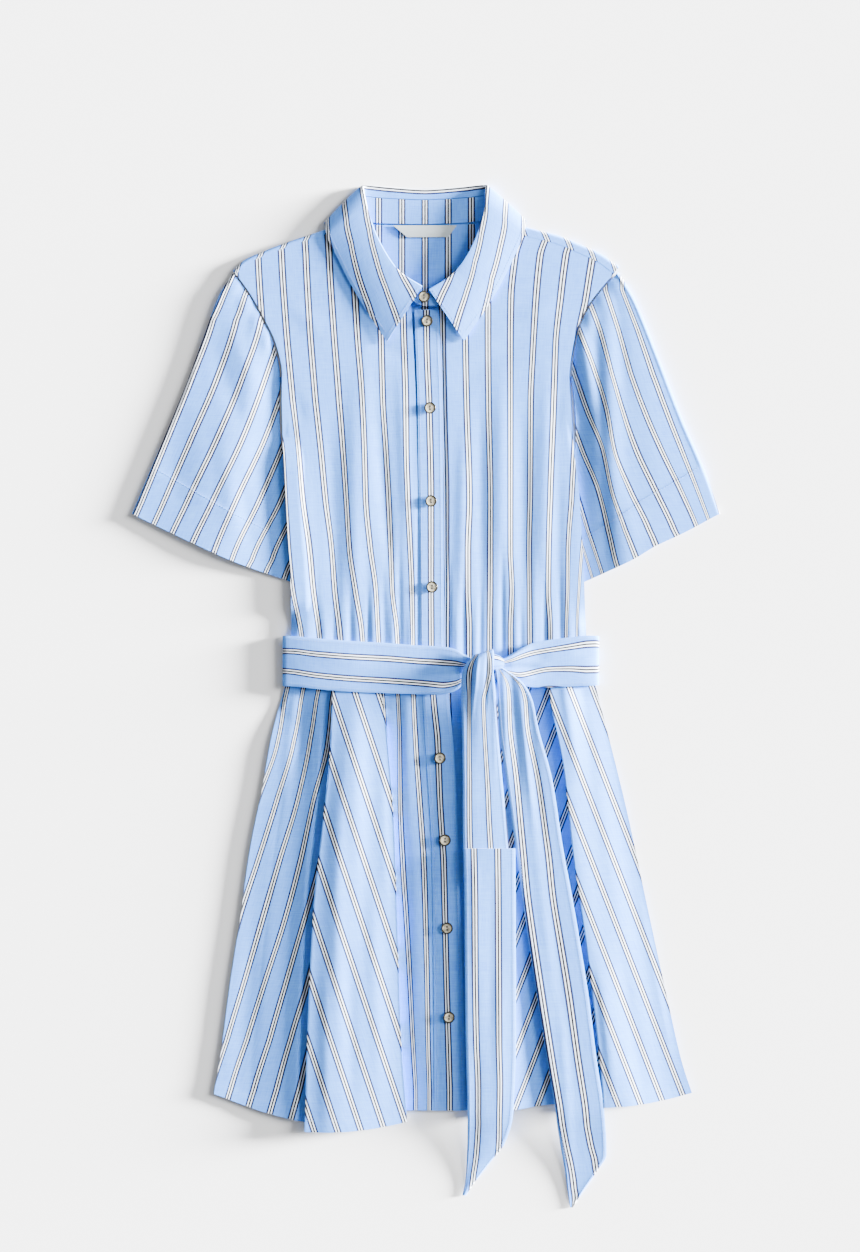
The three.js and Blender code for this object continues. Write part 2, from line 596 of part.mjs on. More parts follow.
function skirtGoreLeft() {
  const tucked = offset(VALLEY_OUTER, (s) => 0.8 * returnDepth(s));
  const slope = { from: 0.08, to: 0.68 }; // share of the way across over which it falls under the next gore
  const top = (u, s) => lerp(foldZ(s), sideUnderZ(s), step(slope.from, slope.to, u));
  return foldedGore({ outer: VALLEY_INNER, inner: tucked, top, hemBow: -6, isFlute: false });
}

const LEFT_FOLD = { height: 0.8, across: 6 }; // a soft fold down the left side panel, in radians across
function skirtSideLeft() {
  const top = (u, s) => {
    const p = OUTLINE_LEFT(s);
    const edge = backZ(p.x, p.y) + CLOTH + LAID_CLEAR;
    const fold = LEFT_FOLD.height * s * Math.sin(LEFT_FOLD.across * u) * Math.sin(PI * u);
    return lerp(foldZ(s), edge, step(0.25, 1, u)) + fold;
  };
  return foldedGore({ outer: VALLEY_OUTER, inner: OUTLINE_LEFT, top, hemBow: 3, isFlute: false });
}

function backSkirt() {
  const outer = offset(OUTLINE_RIGHT, BACK_INSET);
  const inner = offset(OUTLINE_LEFT, -BACK_INSET);
  const area = patch(straight(outer(0), inner(0)), HEMS.back, outer, inner);
  return wall(onSurface(area, backZ), evenly(12), SKIRT_ROWS, CLOTH);
}

// Belt
function beltBack() {
  const area = (u, v) => new THREE.Vector2(lerp(BELT.left, BELT.right, u), lerp(BELT.low, BELT.high, v));
  return wall(onSurface(area, () => DOUBLED / 2), evenly(4), evenly(2), DOUBLED);
}

// One stretch of the belt's front, from the side to under the knot. Each row has a place along it, its upper
// and lower edges and its height.
const BELT_RIGHT = table('x high low z', [
  [-145.6, 28, -21, 2.6], [-147, 28, -21.5, 4.6], [-146, 28, -22, 7], [-142.5, 28, -22, 8.5],
  [-136, 27.7, -22.3, 9], [-112, 25.5, -25, 9.2], [-80, 23, -27.5, 9.4], [-45, 21, -29, 9.2],
  [-12, 18.5, -30, 9.4], [10, 17.5, -30.5, 10], [24, 15, -27, 11], [33, 10, -20, 11.8], [40, 6, -14, 11.4],
]);
const BELT_LEFT = table('x high low z', [
  [167, 27, -20.5, 2.6], [168.6, 27, -20.5, 4.6], [167.6, 27.5, -21, 7], [164, 28, -21.2, 8.4],
  [157, 28.3, -21.6, 8.9], [140, 26.5, -22.4, 9.3], [120, 24, -23, 9.6], [104, 21, -23, 10.2],
  [92, 16, -21, 11.2], [80, 9, -14, 12], [68, 3, -7.5, 12],
]);

const BELT_SWELL = 0.8; // how much higher the middle of its width is than its edges
function beltFront(rows, counts) {
  const [x, high, low, z] = ['x', 'high', 'low', 'z'].map((key) => column(rows, key));
  const surface = (u, v) => {
    const swell = BELT_SWELL * Math.sin(PI * v) * step(0.25, 0.5, u);
    return new THREE.Vector3(x(u), lerp(low(u), high(u), v), z(u) + swell);
  };
  return wall(surface, evenly(counts), evenly(4), DOUBLED);
}

// The knot: a short bar of gathered belt that the wrap passes over.
const KNOT = table('x y wide thick z', [
  [41, -3, 3, 1.1, 15.8], [46, 0, 6, 1.6, 16.4], [53, 2, 7.4, 1.9, 16.6],
  [61, 2.4, 7.2, 1.9, 16.6], [68, 2, 6, 1.7, 16.2], [73, 1, 3.6, 1.1, 15.8],
]);
function beltKnot() {
  const [x, y, wide, thick, z] = ['x', 'y', 'wide', 'thick', 'z'].map((key) => column(KNOT, key));
  const ring = 10; // points round each section
  const steps = 7; // sections along the bar
  const positions = [];
  const index = [];
  for (const t of evenly(steps)) {
    for (let i = 0; i < ring; i++) {
      const angle = (2 * PI * i) / ring;
      positions.push(x(t), y(t) + wide(t) * Math.cos(angle), z(t) + thick(t) * Math.sin(angle));
    }
  }
  const at = (j, i) => j * ring + (i % ring);
  for (let j = 0; j < steps; j++) {
    for (let i = 0; i < ring; i++) {
      index.push(at(j, i), at(j + 1, i), at(j + 1, i + 1));
      index.push(at(j, i), at(j + 1, i + 1), at(j, i + 1));
    }
  }
  for (let i = 1; i < ring - 1; i++) {
    index.push(at(0, 0), at(0, i), at(0, i + 1));
    index.push(at(steps, 0), at(steps, i + 1), at(steps, i));
  }
  return facingOut(positions, index);
}

// The belt's ends, from the knot down. left and right are the edges, z is the height and ridge is how far
// the left edge droops.
const WRAP = table('y left right z ridge', [
  [-7, 46, 61, 13, 0], [3, 45, 62, 13, 0], [10, 44, 62, 13.2, 0], [15.6, 43, 62, 15, 0],
  [17.6, 42.5, 62.6, 17.6, 0], [16, 42, 63, 20.2, 0.8], [8, 36, 63.5, 21.4, 2.5], [-6, 32, 63, 21, 4.8],
  [-22, 31, 64.5, 18.4, 3.8], [-40, 31.5, 66, 14.6, 1.6], [-80, 32.5, 69, 11.6, 0.5],
  [-120, 33, 72.5, 10.8, 0], [-160, 33, 76.5, 10.8, 0],
  [-200, 33.5, 80, 10.9, 0], [-214, 33.5, 81, 10.9, 0],
]);
const TAIL_RIGHT_END = table('y left right z ridge', [
  [-184, 33.5, 85, 12.8, 0], [-230, 34.5, 85.3, 12.4, 0], [-300, 35, 85.6, 11.4, 0],
  [-376, 35.8, 85.8, 11.2, 0],
  [-420, 37, 84.5, 11.2, 0], [-447, 37.5, 83, 10.8, 0], [-458, 37.6, 81.5, 9.6, 0], [-470, 37.6, 78, 7.4, 0],
  [-482, 37.4, 73, 5.6, 0], [-497, 37, 61, 3.6, 0], [-510, 36.4, 51, 2.3, 0], [-522, 35, 42, 1.5, 0],
  [-532, 32.8, 35.6, 1.2, 0],
]);
const TAIL_LEFT = table('y left right z ridge', [
  [-4, 65.5, 72, 14.2, 0], [-12, 66, 84, 14.3, 0], [-22, 67, 95, 14.2, 0], [-36, 68, 102, 13.6, 0],
  [-66, 71, 108.5, 11.6, 0], [-116, 80, 122, 10.6, 0], [-180, 88, 132, 10.6, 0], [-245, 95.6, 144, 10.6, 0],
  [-334, 107.5, 158.5, 10.4, 0], [-393, 117, 166, 10.4, 0], [-443, 125, 173.5, 10.2, 0],
  [-460, 127, 175, 8.6, 0], [-473, 129, 176, 6.6, 0], [-490, 132, 176.4, 4.4, 0], [-506, 135, 168, 2.8, 0],
  [-524, 137.6, 155.5, 1.7, 0],
  [-544, 140.6, 142.4, 1.2, 0],
]);

const END_SWELL = 0.5; // how much higher its middle is than its edges
function beltEnd(rows, count) {
  const [y, left, right, z, ridge] = ['y', 'left', 'right', 'z', 'ridge'].map((key) => column(rows, key));
  const surface = (u, v) => {
    const x = lerp(left(v), right(v), u);
    const droop = ridge(v) * (1 - step(0, 0.5, u));
    return new THREE.Vector3(x, y(v), z(v) - droop + END_SWELL * Math.sin(PI * u));
  };
  return wall(surface, evenly(4), evenly(count), DOUBLED);
}

// Collar: stations from the wearer's right front, round the back, to the left front.
// The fall turns over at the roll line and ends at its edge. The stand runs from its seam with the body
// up to the fall, which it meets on the inside. turn is the way from the inner layer to the outer one:
// 90 is straight up, as in front, 0 is level, as at the sides, and -90 is straight down, as behind.
const COLLAR = table('rollX rollY rollZ edgeX edgeY edgeZ seamX seamY seamZ meetZ turn', [
  [-8, 377, 9.8, -43, 322, 7.2, -8, 358, 7.5, 8.2, 90],
  [-30, 391.5, 9.8, -64, 354, 7.2, -33.5, 372.5, 7, 8.2, 90],
  [-46, 413.5, 9.6, -80, 381, 7.2, -54, 396.5, 6.8, 8, 90],
  [-57, 437, 9.2, -93, 407, 7.4, -68.5, 417, 6.6, 7.6, 90],
  [-63.5, 459, 8.4, -103, 428, 7.6, -74.5, 436, 6.2, 7, 80],
  [-67.5, 477.5, 5, -105.5, 441, 4.2, -73.5, 446, 4.6, 5, 0],
  [-63, 478.6, 2.2, -98, 438.2, 0.7, -68, 444.5, 3.2, 3, -80],
  [-42, 477.2, 1.55, -58, 425, 0.65, -48, 441, 2.4, 2.4, -90],
  [-5, 475.4, 1.55, -6, 422, 0.65, -5, 440.4, 2.4, 2.4, -90],
  [32, 477.4, 1.55, 46, 424, 0.65, 38, 442, 2.4, 2.4, -90],
  [52, 479, 2.2, 88, 440, 0.7, 59, 445.5, 3.2, 3, -80],
  [56.5, 477.5, 5, 96, 443, 4.2, 63.5, 446.6, 4.6, 5, 0],
  [55.5, 459, 8.4, 94, 430, 7.6, 63, 438, 6.2, 7, 80],
  [48.5, 433, 9.2, 83, 405, 7.4, 57, 417, 6.6, 7.6, 90],
  [37.5, 409, 9.6, 70, 378, 7.2, 43.5, 391.5, 6.8, 7.8, 90],
  [22, 389, 9.8, 54, 352, 7.2, 27.5, 368.6, 6.3, 7.1, 90],
  [-1, 374, 9.8, 34, 323, 7.2, 4, 357.4, 5.6, 5.8, 90],
]);
// Where its sections are, as places in the table. They lie closer where the fall turns over the shoulders.
const COLLAR_STEPS = [
  0, 0.5, 1, 2, 3, 4, 4.3, 4.6, 5, 5.3, 5.6, 6, 7, 8, 9,
  10, 10.4, 10.7, 11, 11.4, 11.7, 12, 13, 14, 15, 15.5, 16,
].map((station) => station / (COLLAR.length - 1));
const MEET = 0.3; // where the fall meets the stand, as a share of the way from the roll line to the seam
const FALL_LAYERS = 0.9; // half of the way between the middles of the fall's two layers at the roll
const FALL_TURN = [-90, -45, 0, 45, 90]; // degrees round the roll, from its inner layer to its outer one

const collarColumns = Object.keys(COLLAR[0]).map((key) => [key, column(COLLAR, key)]);
const collarAt = (t) => Object.fromEntries(collarColumns.map(([key, value]) => [key, value(t)]));

// The directions that a collar section is drawn in: out through the layers, and down towards its edge.
const COLLAR_MIDDLE_X = -5.5;
function collarFrame(c) {
  const down = new THREE.Vector3(c.edgeX - c.rollX, c.edgeY - c.rollY, 0).normalize();
  const side = c.rollX < COLLAR_MIDDLE_X ? 1 : -1;
  const level = new THREE.Vector3(down.y, -down.x, 0).multiplyScalar(side);
  const angle = (c.turn * PI) / 180;
  const out = level.multiplyScalar(Math.cos(angle)).setZ(Math.sin(angle));
  return { out, down };
}

function fallPoints(t) {
  const c = collarAt(t);
  const { out, down } = collarFrame(c);
  const roll = new THREE.Vector3(c.rollX, c.rollY, c.rollZ);
  const edge = new THREE.Vector3(c.edgeX, c.edgeY, c.edgeZ);
  const seam = new THREE.Vector3(c.seamX, c.seamY, c.seamZ);
  const toSeam = seam.clone().sub(roll).setZ(0).normalize();
  const at = (towards, distance, layer) => roll.clone()
    .addScaledVector(towards, distance).addScaledVector(out, layer * FALL_LAYERS);
  const meet = roll.clone().lerp(seam, MEET).setZ(c.meetZ);
  meet.addScaledVector(out.clone().setZ(0), -FALL_LAYERS);
  const turn = FALL_TURN.map((degrees) => {
    const angle = (degrees * PI) / 180;
    return at(degrees < 0 ? toSeam : down, FALL_LAYERS * (1 - Math.cos(angle)), Math.sin(angle));
  });
  const outer = turn.at(-1);
  return [
    meet,
    meet.clone().lerp(turn[0], 0.5),
    ...turn,
    outer.clone().lerp(edge, 0.35),
    outer.clone().lerp(edge, 0.7),
    edge,
  ];
}

function collarFall() {
  const sections = COLLAR_STEPS.map(fallPoints);
  const across = sections[0].map((_, k) => k);
  return wall((k, j) => sections[j][k].clone(), across, COLLAR_STEPS.map((_, j) => j), DOUBLED);
}

// The stand: the same stations between the seam and the fall, and the two ends that lap in front.
const STAND_GAP = 0.07; // share of the stand's height left free below the fall
function collarStand() {
  const station = (t) => {
    const c = collarAt(t);
    const { out } = collarFrame(c);
    const low = new THREE.Vector3(c.seamX, c.seamY, c.seamZ);
    const share = 1 - MEET - STAND_GAP;
    const high = low.clone().lerp(new THREE.Vector3(c.rollX, c.rollY, c.seamZ), share);
    high.setZ(c.meetZ).addScaledVector(out.clone().setZ(0), -FALL_LAYERS);
    return { low, high };
  };
  const point = (x, y, z) => new THREE.Vector3(x, y, z);
  const sections = [
    { low: point(9, 359, 7.5), high: point(8.5, 363.5, 7.5) },
    { low: point(2, 358, 7.5), high: point(1.5, 367, 7.6) },
    ...COLLAR_STEPS.map(station),
    { low: point(-8, 357.6, 5.6), high: point(-8.5, 368, 5.6) },
    { low: point(-15, 360, 5.6), high: point(-15, 365, 5.6) },
  ];
  const surface = (u, j) => sections[j].low.clone().lerp(sections[j].high, u);
  return wall(surface, evenly(2), sections.map((_, j) => j), DOUBLED);
}

function neckLabel() {
  const corner = (x, y) => new THREE.Vector2(x, y);
  const high = straight(corner(-37, 438.8), corner(27, 438.8));
  const low = straight(corner(-23, 427), corner(18, 427));
  const area = (u, v) => low(u).lerp(high(u), v);
  return wall(onSurface(area, (x, y) => backZ(x, y) + CLOTH + CLEAR), evenly(2), evenly(1), CLOTH);
}

// Buttons: a disc with a raised rim and two holes, one above the other
const BUTTON_PLACES = table('name x y', [
  ['collar', -6, 367], ['bodice_1', -3, 343], ['bodice_2', 0, 256], ['bodice_3', 1, 163], ['bodice_4', 2, 77],
  ['skirt_1', 10, -94], ['skirt_2', 15, -176], ['skirt_3', 17, -264], ['skirt_4', 19, -353],
]);
function button(place) {
  const { radius, thickness, rim, rimWidth, rounding, hole, holeOffset } = BUTTON;
  const profile = [
    [0, 0], [radius - rounding, 0], [radius, thickness / 2], [radius - rounding, thickness],
    [radius - rimWidth, thickness - rim], [0, thickness - rim],
  ].map(([x, y]) => new THREE.Vector2(x, y));
  let disc = solidOf(new THREE.LatheGeometry(profile, 14).rotateX(PI / 2));
  for (const side of [1, -1]) {
    const drill = wasm.Manifold.cylinder(3 * thickness, hole, hole, 5, true);
    disc = disc.subtract(drill.translate([0, side * holeOffset, 0]));
  }
  return geometryOf(disc).translate(place.x, place.y, buttonZ(place));
}

// The underside of a button: clear of the highest cloth below it
function buttonZ({ x, y }) {
  if (y > BAND[0].y) return COLLAR[0].meetZ + DOUBLED / 2 + CLEAR;
  const height = y > WAIST_Y ? frontZ : skirtFrontZ;
  const r = BUTTON.radius;
  const below = [[0, 0], [r, 0], [-r, 0], [0, r], [0, -r]].map(([dx, dy]) => height(x + dx, y + dy));
  return Math.max(...below) + DOUBLED / 2 + CLEAR;
}

// The whole dress
const FINISHES = {
  striped_cotton: { color: 0x9fb6da, roughness: 0.9, metalness: 0 },
  label: { color: 0xd9dadf, roughness: 0.8, metalness: 0 },
  button: { color: 0xe4dfd3, roughness: 0.35, metalness: 0 },
};

const group = new THREE.Group();
function add(name, geometry, slot = 'striped_cotton') {
  const material = new THREE.MeshStandardMaterial(FINISHES[slot]);
  material.name = slot;
  const mesh = new THREE.Mesh(geometry, material);
  mesh.name = name;
  group.add(mesh);
}

add('bodice_front_right', frontRight());
add('bodice_front_left', frontLeft());
add('bodice_back', backBodice());
add('placket_bodice', band(WAIST_Y + SEAM, BAND_TOP, frontZ));
add('sleeve_right', sleeve(SLEEVES.right, 0.4));
add('sleeve_left', sleeve(SLEEVES.left, 2.1));
add('collar_stand', collarStand());
add('collar_fall', collarFall());
add('neck_label', neckLabel(), 'label');
add('skirt_back', backSkirt());
add('skirt_side_right', skirtSideRight());
add('skirt_gore_right', skirtGoreRight());
add('skirt_centre_right', skirtCentreRight());
add('placket_skirt', band(SKIRT_HEM, SKIRT_TOP, skirtFrontZ));
add('skirt_centre_left', skirtCentreLeft());
add('skirt_gore_left', skirtGoreLeft());
add('skirt_side_left', skirtSideLeft());
add('belt_back', beltBack());
add('belt_front_right', beltFront(BELT_RIGHT, 16));
add('belt_front_left', beltFront(BELT_LEFT, 14));
add('belt_knot', beltKnot());
add('belt_tail_right_upper', beltEnd(WRAP, 22));
add('belt_tail_right_lower', beltEnd(TAIL_RIGHT_END, 18));
add('belt_tail_left', beltEnd(TAIL_LEFT, 24));
for (const place of BUTTON_PLACES) add(`button_${place.name}`, button(place), 'button');

export default group;
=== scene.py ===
"""A striped cotton shirt dress laid flat on its back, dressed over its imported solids.

Shapes are worked out in millimetres and made in metres. +X is to the right as seen from above,
+Y is towards the collar and +Z is up. "Right" and "left" are the wearer's, so right is at -X.
"""

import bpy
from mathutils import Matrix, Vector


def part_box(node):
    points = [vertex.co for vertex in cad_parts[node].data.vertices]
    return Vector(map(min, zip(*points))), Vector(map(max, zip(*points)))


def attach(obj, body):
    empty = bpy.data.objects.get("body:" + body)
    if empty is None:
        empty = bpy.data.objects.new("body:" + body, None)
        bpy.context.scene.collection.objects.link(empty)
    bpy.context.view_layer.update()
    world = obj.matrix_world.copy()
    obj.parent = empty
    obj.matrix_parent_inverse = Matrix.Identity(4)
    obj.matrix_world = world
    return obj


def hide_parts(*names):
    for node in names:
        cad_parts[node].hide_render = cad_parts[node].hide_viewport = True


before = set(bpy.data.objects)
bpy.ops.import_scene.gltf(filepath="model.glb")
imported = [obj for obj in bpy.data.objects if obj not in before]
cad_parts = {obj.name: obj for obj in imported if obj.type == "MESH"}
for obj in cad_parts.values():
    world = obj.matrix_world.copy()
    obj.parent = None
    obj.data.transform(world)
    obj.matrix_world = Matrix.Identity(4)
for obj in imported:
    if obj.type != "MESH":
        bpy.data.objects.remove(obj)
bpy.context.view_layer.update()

import logging
import math
from collections.abc import Callable, Sequence
from dataclasses import dataclass, field
from enum import Enum

import bmesh
import bpy
import numpy as np
from mathutils import Matrix, Vector

Array = np.ndarray
Curve = Callable[[Array], Array]
Area = Callable[[Array, Array], Array]
Field = Callable[[Array, Array], Array]

log = logging.getLogger("dress")

MM = 0.001
CLOTH_MAP = "cloth"
CLOTH = 0.6  # wall of one layer
DOUBLED = 1.1  # wall of a collar, band or belt, which is two layers
PITCH = 22.5  # from one stripe to the next across the cloth


class Held(Enum):
    """How a sheet of cloth is held."""

    LAID = "laid"
    GATHERED = "gathered"
    FOLDED = "folded"


# Smooth values, lines and areas


def mix(a: Array, b: Array, t: Array) -> Array:
    """The value a share t of the way from a to b."""
    return a + (b - a) * t


def smooth(low: float, high: float, x: Array) -> Array:
    """A smooth step from 0 at low to 1 at high."""
    t = np.clip((np.asarray(x, float) - low) / (high - low), 0, 1)
    return t * t * (3 - 2 * t)


def stack(*columns: Array) -> Array:
    """Columns of numbers side by side, as points."""
    return np.stack(np.broadcast_arrays(*[np.asarray(c, float) for c in columns]), axis=-1)


class Track:
    """A smooth value through evenly numbered rows, which never swings past its own points.

    Args:
        values: one number a row.
    """

    def __init__(self, values: Sequence[float]) -> None:
        self.values = np.array(values, float)
        rises = np.diff(self.values)
        inner = [2 * a * b / (a + b) if a * b > 0 else 0.0 for a, b in zip(rises, rises[1:])]
        self.slopes = np.array([rises[0], *inner, rises[-1]])

    def __call__(self, t: Array) -> Array:
        """The value at t, from 0 at the first row to 1 at the last."""
        last = len(self.values) - 1
        place = np.clip(np.asarray(t, float), 0, 1) * last
        i = np.minimum(place.astype(int), last - 1)
        f = place - i
        ends = mix(self.values[i], self.values[i + 1], f * f * (3 - 2 * f))
        return ends + f * (1 - f) * ((1 - f) * self.slopes[i] - f * self.slopes[i + 1])


class ByHeight:
    """A smooth value down a table whose first column, the height, falls from row to row.

    Args:
        rows: the table.
        column: the number of the column that gives the value.
    """

    def __init__(self, rows: Sequence[Sequence[float]], column: int = 1) -> None:
        table = np.array(rows, float)
        self.heights = table[::-1, 0]
        self.places = np.arange(len(table))[::-1] / (len(table) - 1)
        self.track = Track(table[:, column])

    def __call__(self, y: Array) -> Array:
        """The value at height y."""
        return self.track(np.interp(y, self.heights, self.places))


def line(*points: tuple[float, float]) -> Curve:
    """A smooth line through points, run at even speed.

    Args:
        points: x and y of each point.

    Returns:
        The line, from t = 0 to 1.
    """
    table = np.array(points, float)
    samples = np.linspace(0, 1, 401)
    path = stack(*[Track(table[:, k])(samples) for k in range(table.shape[1])])
    reach = np.concatenate([[0], np.cumsum(np.linalg.norm(np.diff(path, axis=0), axis=1))])
    reach /= reach[-1]
    return lambda t: stack(*[np.interp(t, reach, path[:, k]) for k in range(path.shape[1])])


def moved(curve: Curve, distance: float | Callable[[Array], Array]) -> Curve:
    """The same line moved sideways, to its left as it runs for a positive distance."""
    small = 0.01

    def place(t: Array) -> Array:
        along = curve(np.minimum(t + small, 1)) - curve(np.maximum(t - small, 0))
        along /= np.linalg.norm(along, axis=-1, keepdims=True)
        gap = distance(t) if callable(distance) else distance
        return curve(t) + stack(-along[..., 1] * gap, along[..., 0] * gap)

    return place


def flipped(curve: Curve) -> Curve:
    """The same line run the other way."""
    return lambda t: curve(1 - t)


def part_of(curve: Curve, start: float, end: float) -> Curve:
    """The stretch of a line between two shares of it."""
    return lambda t: curve(mix(start, end, t))


def straight(a: Array, b: Array) -> Curve:
    """A straight line between two points."""
    return lambda t: mix(np.asarray(a, float), np.asarray(b, float), np.asarray(t)[..., None])


def chain(*parts: tuple[Curve, float]) -> Curve:
    """Lines run one after another, each with its share of t."""
    total = sum(share for _, share in parts)

    def place(t: Array) -> Array:
        t = np.asarray(t, float)
        found = parts[-1][0](np.ones_like(t))
        start = 0.0
        for curve, share in parts:
            end = start + share / total
            here = (t >= start - 1e-9) & (t <= end + 1e-9)
            found = np.where(here[..., None], curve(np.clip((t - start) / (end - start), 0, 1)), found)
            start = end
        return found

    return place


def patch(low: Curve, high: Curve, left: Curve, right: Curve) -> Area:
    """The flat area between four lines.

    Args:
        low: the line at v = 0, which runs with u.
        high: the line at v = 1, which runs with u.
        left: the line at u = 0, which runs with v. Its ends are drawn to the corners.
        right: the line at u = 1, as left.

    Returns:
        The point at (u, v).
    """
    ends = np.array([0.0, 1.0])
    corner = {(i, j): (low, high)[j](ends)[i] for i in (0, 1) for j in (0, 1)}

    def pinned(curve: Curve, i: int, v: Array) -> Array:
        start, end = curve(ends)
        w = v[..., None]
        return curve(v) + (corner[i, 0] - start) * (1 - w) + (corner[i, 1] - end) * w

    def place(u: Array, v: Array) -> Array:
        a, b = u[..., None], v[..., None]
        ruled = mix(low(u), high(u), b)
        sides = mix(pinned(left, 0, v), pinned(right, 1, v), a)
        flat = mix(mix(corner[0, 0], corner[1, 0], a), mix(corner[0, 1], corner[1, 1], a), b)
        return ruled + sides - flat

    return place


def creases(rows: Sequence[Sequence[float]]) -> Field:
    """Soft troughs and ridges, given one by one.

    Args:
        rows: x and y of each one's start, x and y of its end, its half width and its height,
            which is below 0 for a trough.

    Returns:
        How far they lift the cloth at (x, y).
    """

    def lift(x: Array, y: Array) -> Array:
        total = np.zeros_like(x)
        for x0, y0, x1, y1, width, height in rows:
            dx, dy = x1 - x0, y1 - y0
            length = math.hypot(dx, dy)
            along = ((x - x0) * dx + (y - y0) * dy) / length**2
            aside = ((x - x0) * dy - (y - y0) * dx) / length
            ends = smooth(-0.1, 0.3, along) * (1 - smooth(0.6, 1.1, along))
            total += height * ends * np.exp(-((aside / width) ** 2))
        return total

    return lift


# How the stripes lie on each panel


class StripeTable:
    """Where stripes cross some heights of a panel.

    Args:
        first: the number of the stripe in the table's second column.
        rows: each row is a height, and the x of one stripe after another.
    """

    def __init__(self, first: int, rows: Sequence[Sequence[float]]) -> None:
        table = np.array(rows, float)
        self.numbers = first + np.arange(table.shape[1] - 1)
        self.tracks = [ByHeight(rows, k) for k in range(1, table.shape[1])]

    def __call__(self, x: Array, y: Array) -> Array:
        """Across and along the cloth at (x, y), in mm."""
        at = np.array([track(y) for track in self.tracks])
        number = self.numbers[0] + (x - at[0]) / (at[1] - at[0])
        for k in range(1, len(at) - 1):
            here = self.numbers[k] + (x - at[k]) / (at[k + 1] - at[k])
            number = np.where(x >= at[k], here, number)
        return stack(number * PITCH, y)


class Slant:
    """Straight stripes that lean.

    Args:
        x: where one of them crosses the height y.
        y: that height.
        lean: how far they go towards +X for each unit up.
        gap: from one to the next along X.
    """

    def __init__(self, x: float, y: float, lean: float, gap: float) -> None:
        self.x, self.y, self.lean, self.gap = x, y, lean, gap

    def __call__(self, x: Array, y: Array) -> Array:
        """Across and along the cloth at (x, y), in mm."""
        across = (x - self.x - self.lean * (y - self.y)) / self.gap
        return stack(across * PITCH, y * math.hypot(1, self.lean))


# Meshes


def grid_mesh(
    name: str,
    surface: Area,
    cloth: Area,
    columns: int,
    rows: int,
    ring: bool = False,
    flip: bool = False,
    crisp: Sequence[float] = (),
) -> bpy.types.Object:
    """One smooth sheet, without its thickness.

    Args:
        name: the piece's name.
        surface: the point at (u, v), in mm.
        cloth: across and along the cloth at (u, v), in mm.
        columns: steps in u.
        rows: steps in v.
        ring: whether it closes on itself in u.
        flip: whether its faces are turned over.
        crisp: the shares u of the columns where a fold starts crisply.

    Returns:
        The object, in metres.
    """
    bm = bmesh.new()
    bmesh.ops.create_grid(bm, x_segments=columns, y_segments=rows, size=0.5)
    bm.verts.ensure_lookup_table()
    bm.verts.index_update()
    flat = np.array([v.co[:2] for v in bm.verts]) + 0.5
    u, v = flat[:, 0], flat[:, 1]
    places = surface(u, v) * MM
    maps = cloth(u, v) * MM
    layer = bm.loops.layers.uv.new(CLOTH_MAP)
    for vertex, place in zip(bm.verts, places):
        vertex.co = place
    for face in bm.faces:
        face.smooth = True
        for loop in face.loops:
            loop[layer].uv = maps[loop.vert.index]
    if ring:
        seam = [vertex for vertex, share in zip(bm.verts, u) if share < 1e-5 or share > 1 - 1e-5]
        bmesh.ops.remove_doubles(bm, verts=seam, dist=1e-6)
    if flip:
        bmesh.ops.reverse_faces(bm, faces=bm.faces)
    sharpen_rims(bm)
    for column in crisp:
        on_column = np.abs(u - column) < 1e-4
        for edge in bm.edges:
            if not ring and all(on_column[vertex.index] for vertex in edge.verts):
                edge.smooth = False
    return object_of(name, bm)


def sharpen_rims(bm: bmesh.types.BMesh) -> None:
    """Keeps the cut edges of a sheet crisp, and only those."""
    for edge in bm.edges:
        edge.smooth = not edge.is_boundary


def object_of(name: str, bm: bmesh.types.BMesh) -> bpy.types.Object:
    """A new object that holds a finished mesh.

    Args:
        name: the piece's name.
        bm: its mesh, in metres, which is freed.

    Returns:
        The object.
    """
    mesh = bpy.data.meshes.new(name)
    bm.to_mesh(mesh)
    bm.free()
    obj = bpy.data.objects.new(name, mesh)
    bpy.context.scene.collection.objects.link(obj)
    return obj


def join(obj: bpy.types.Object, other: bpy.types.Object) -> None:
    """Makes one sheet of two that meet along an edge, and leaves it in the first."""
    bm = bmesh.new()
    bm.from_mesh(obj.data)
    bm.from_mesh(other.data)
    rims = list({vertex for edge in bm.edges if edge.is_boundary for vertex in edge.verts})
    bmesh.ops.remove_doubles(bm, verts=rims, dist=0.00002)
    sharpen_rims(bm)
    bm.to_mesh(obj.data)
    bm.free()
    bpy.data.objects.remove(other)


def thicken(obj: bpy.types.Object, thickness: float) -> None:
    """Gives a sheet its wall, half on each side of it."""
    solid = obj.modifiers.new("wall", "SOLIDIFY")
    solid.thickness = thickness * MM
    solid.offset = 0
    solid.use_quality_normals = True


@dataclass(frozen=True)
class Cut:
    """What a piece of cloth was cut to, and how it lies."""

    width: float
    length: float
    area: float
    held: Held
    rests_on: tuple[str, ...]


@dataclass(frozen=True)
class Seam:
    """A straight run of stitches over a sheet, between two places in its (u, v) shares."""

    start: tuple[float, float]
    end: tuple[float, float]


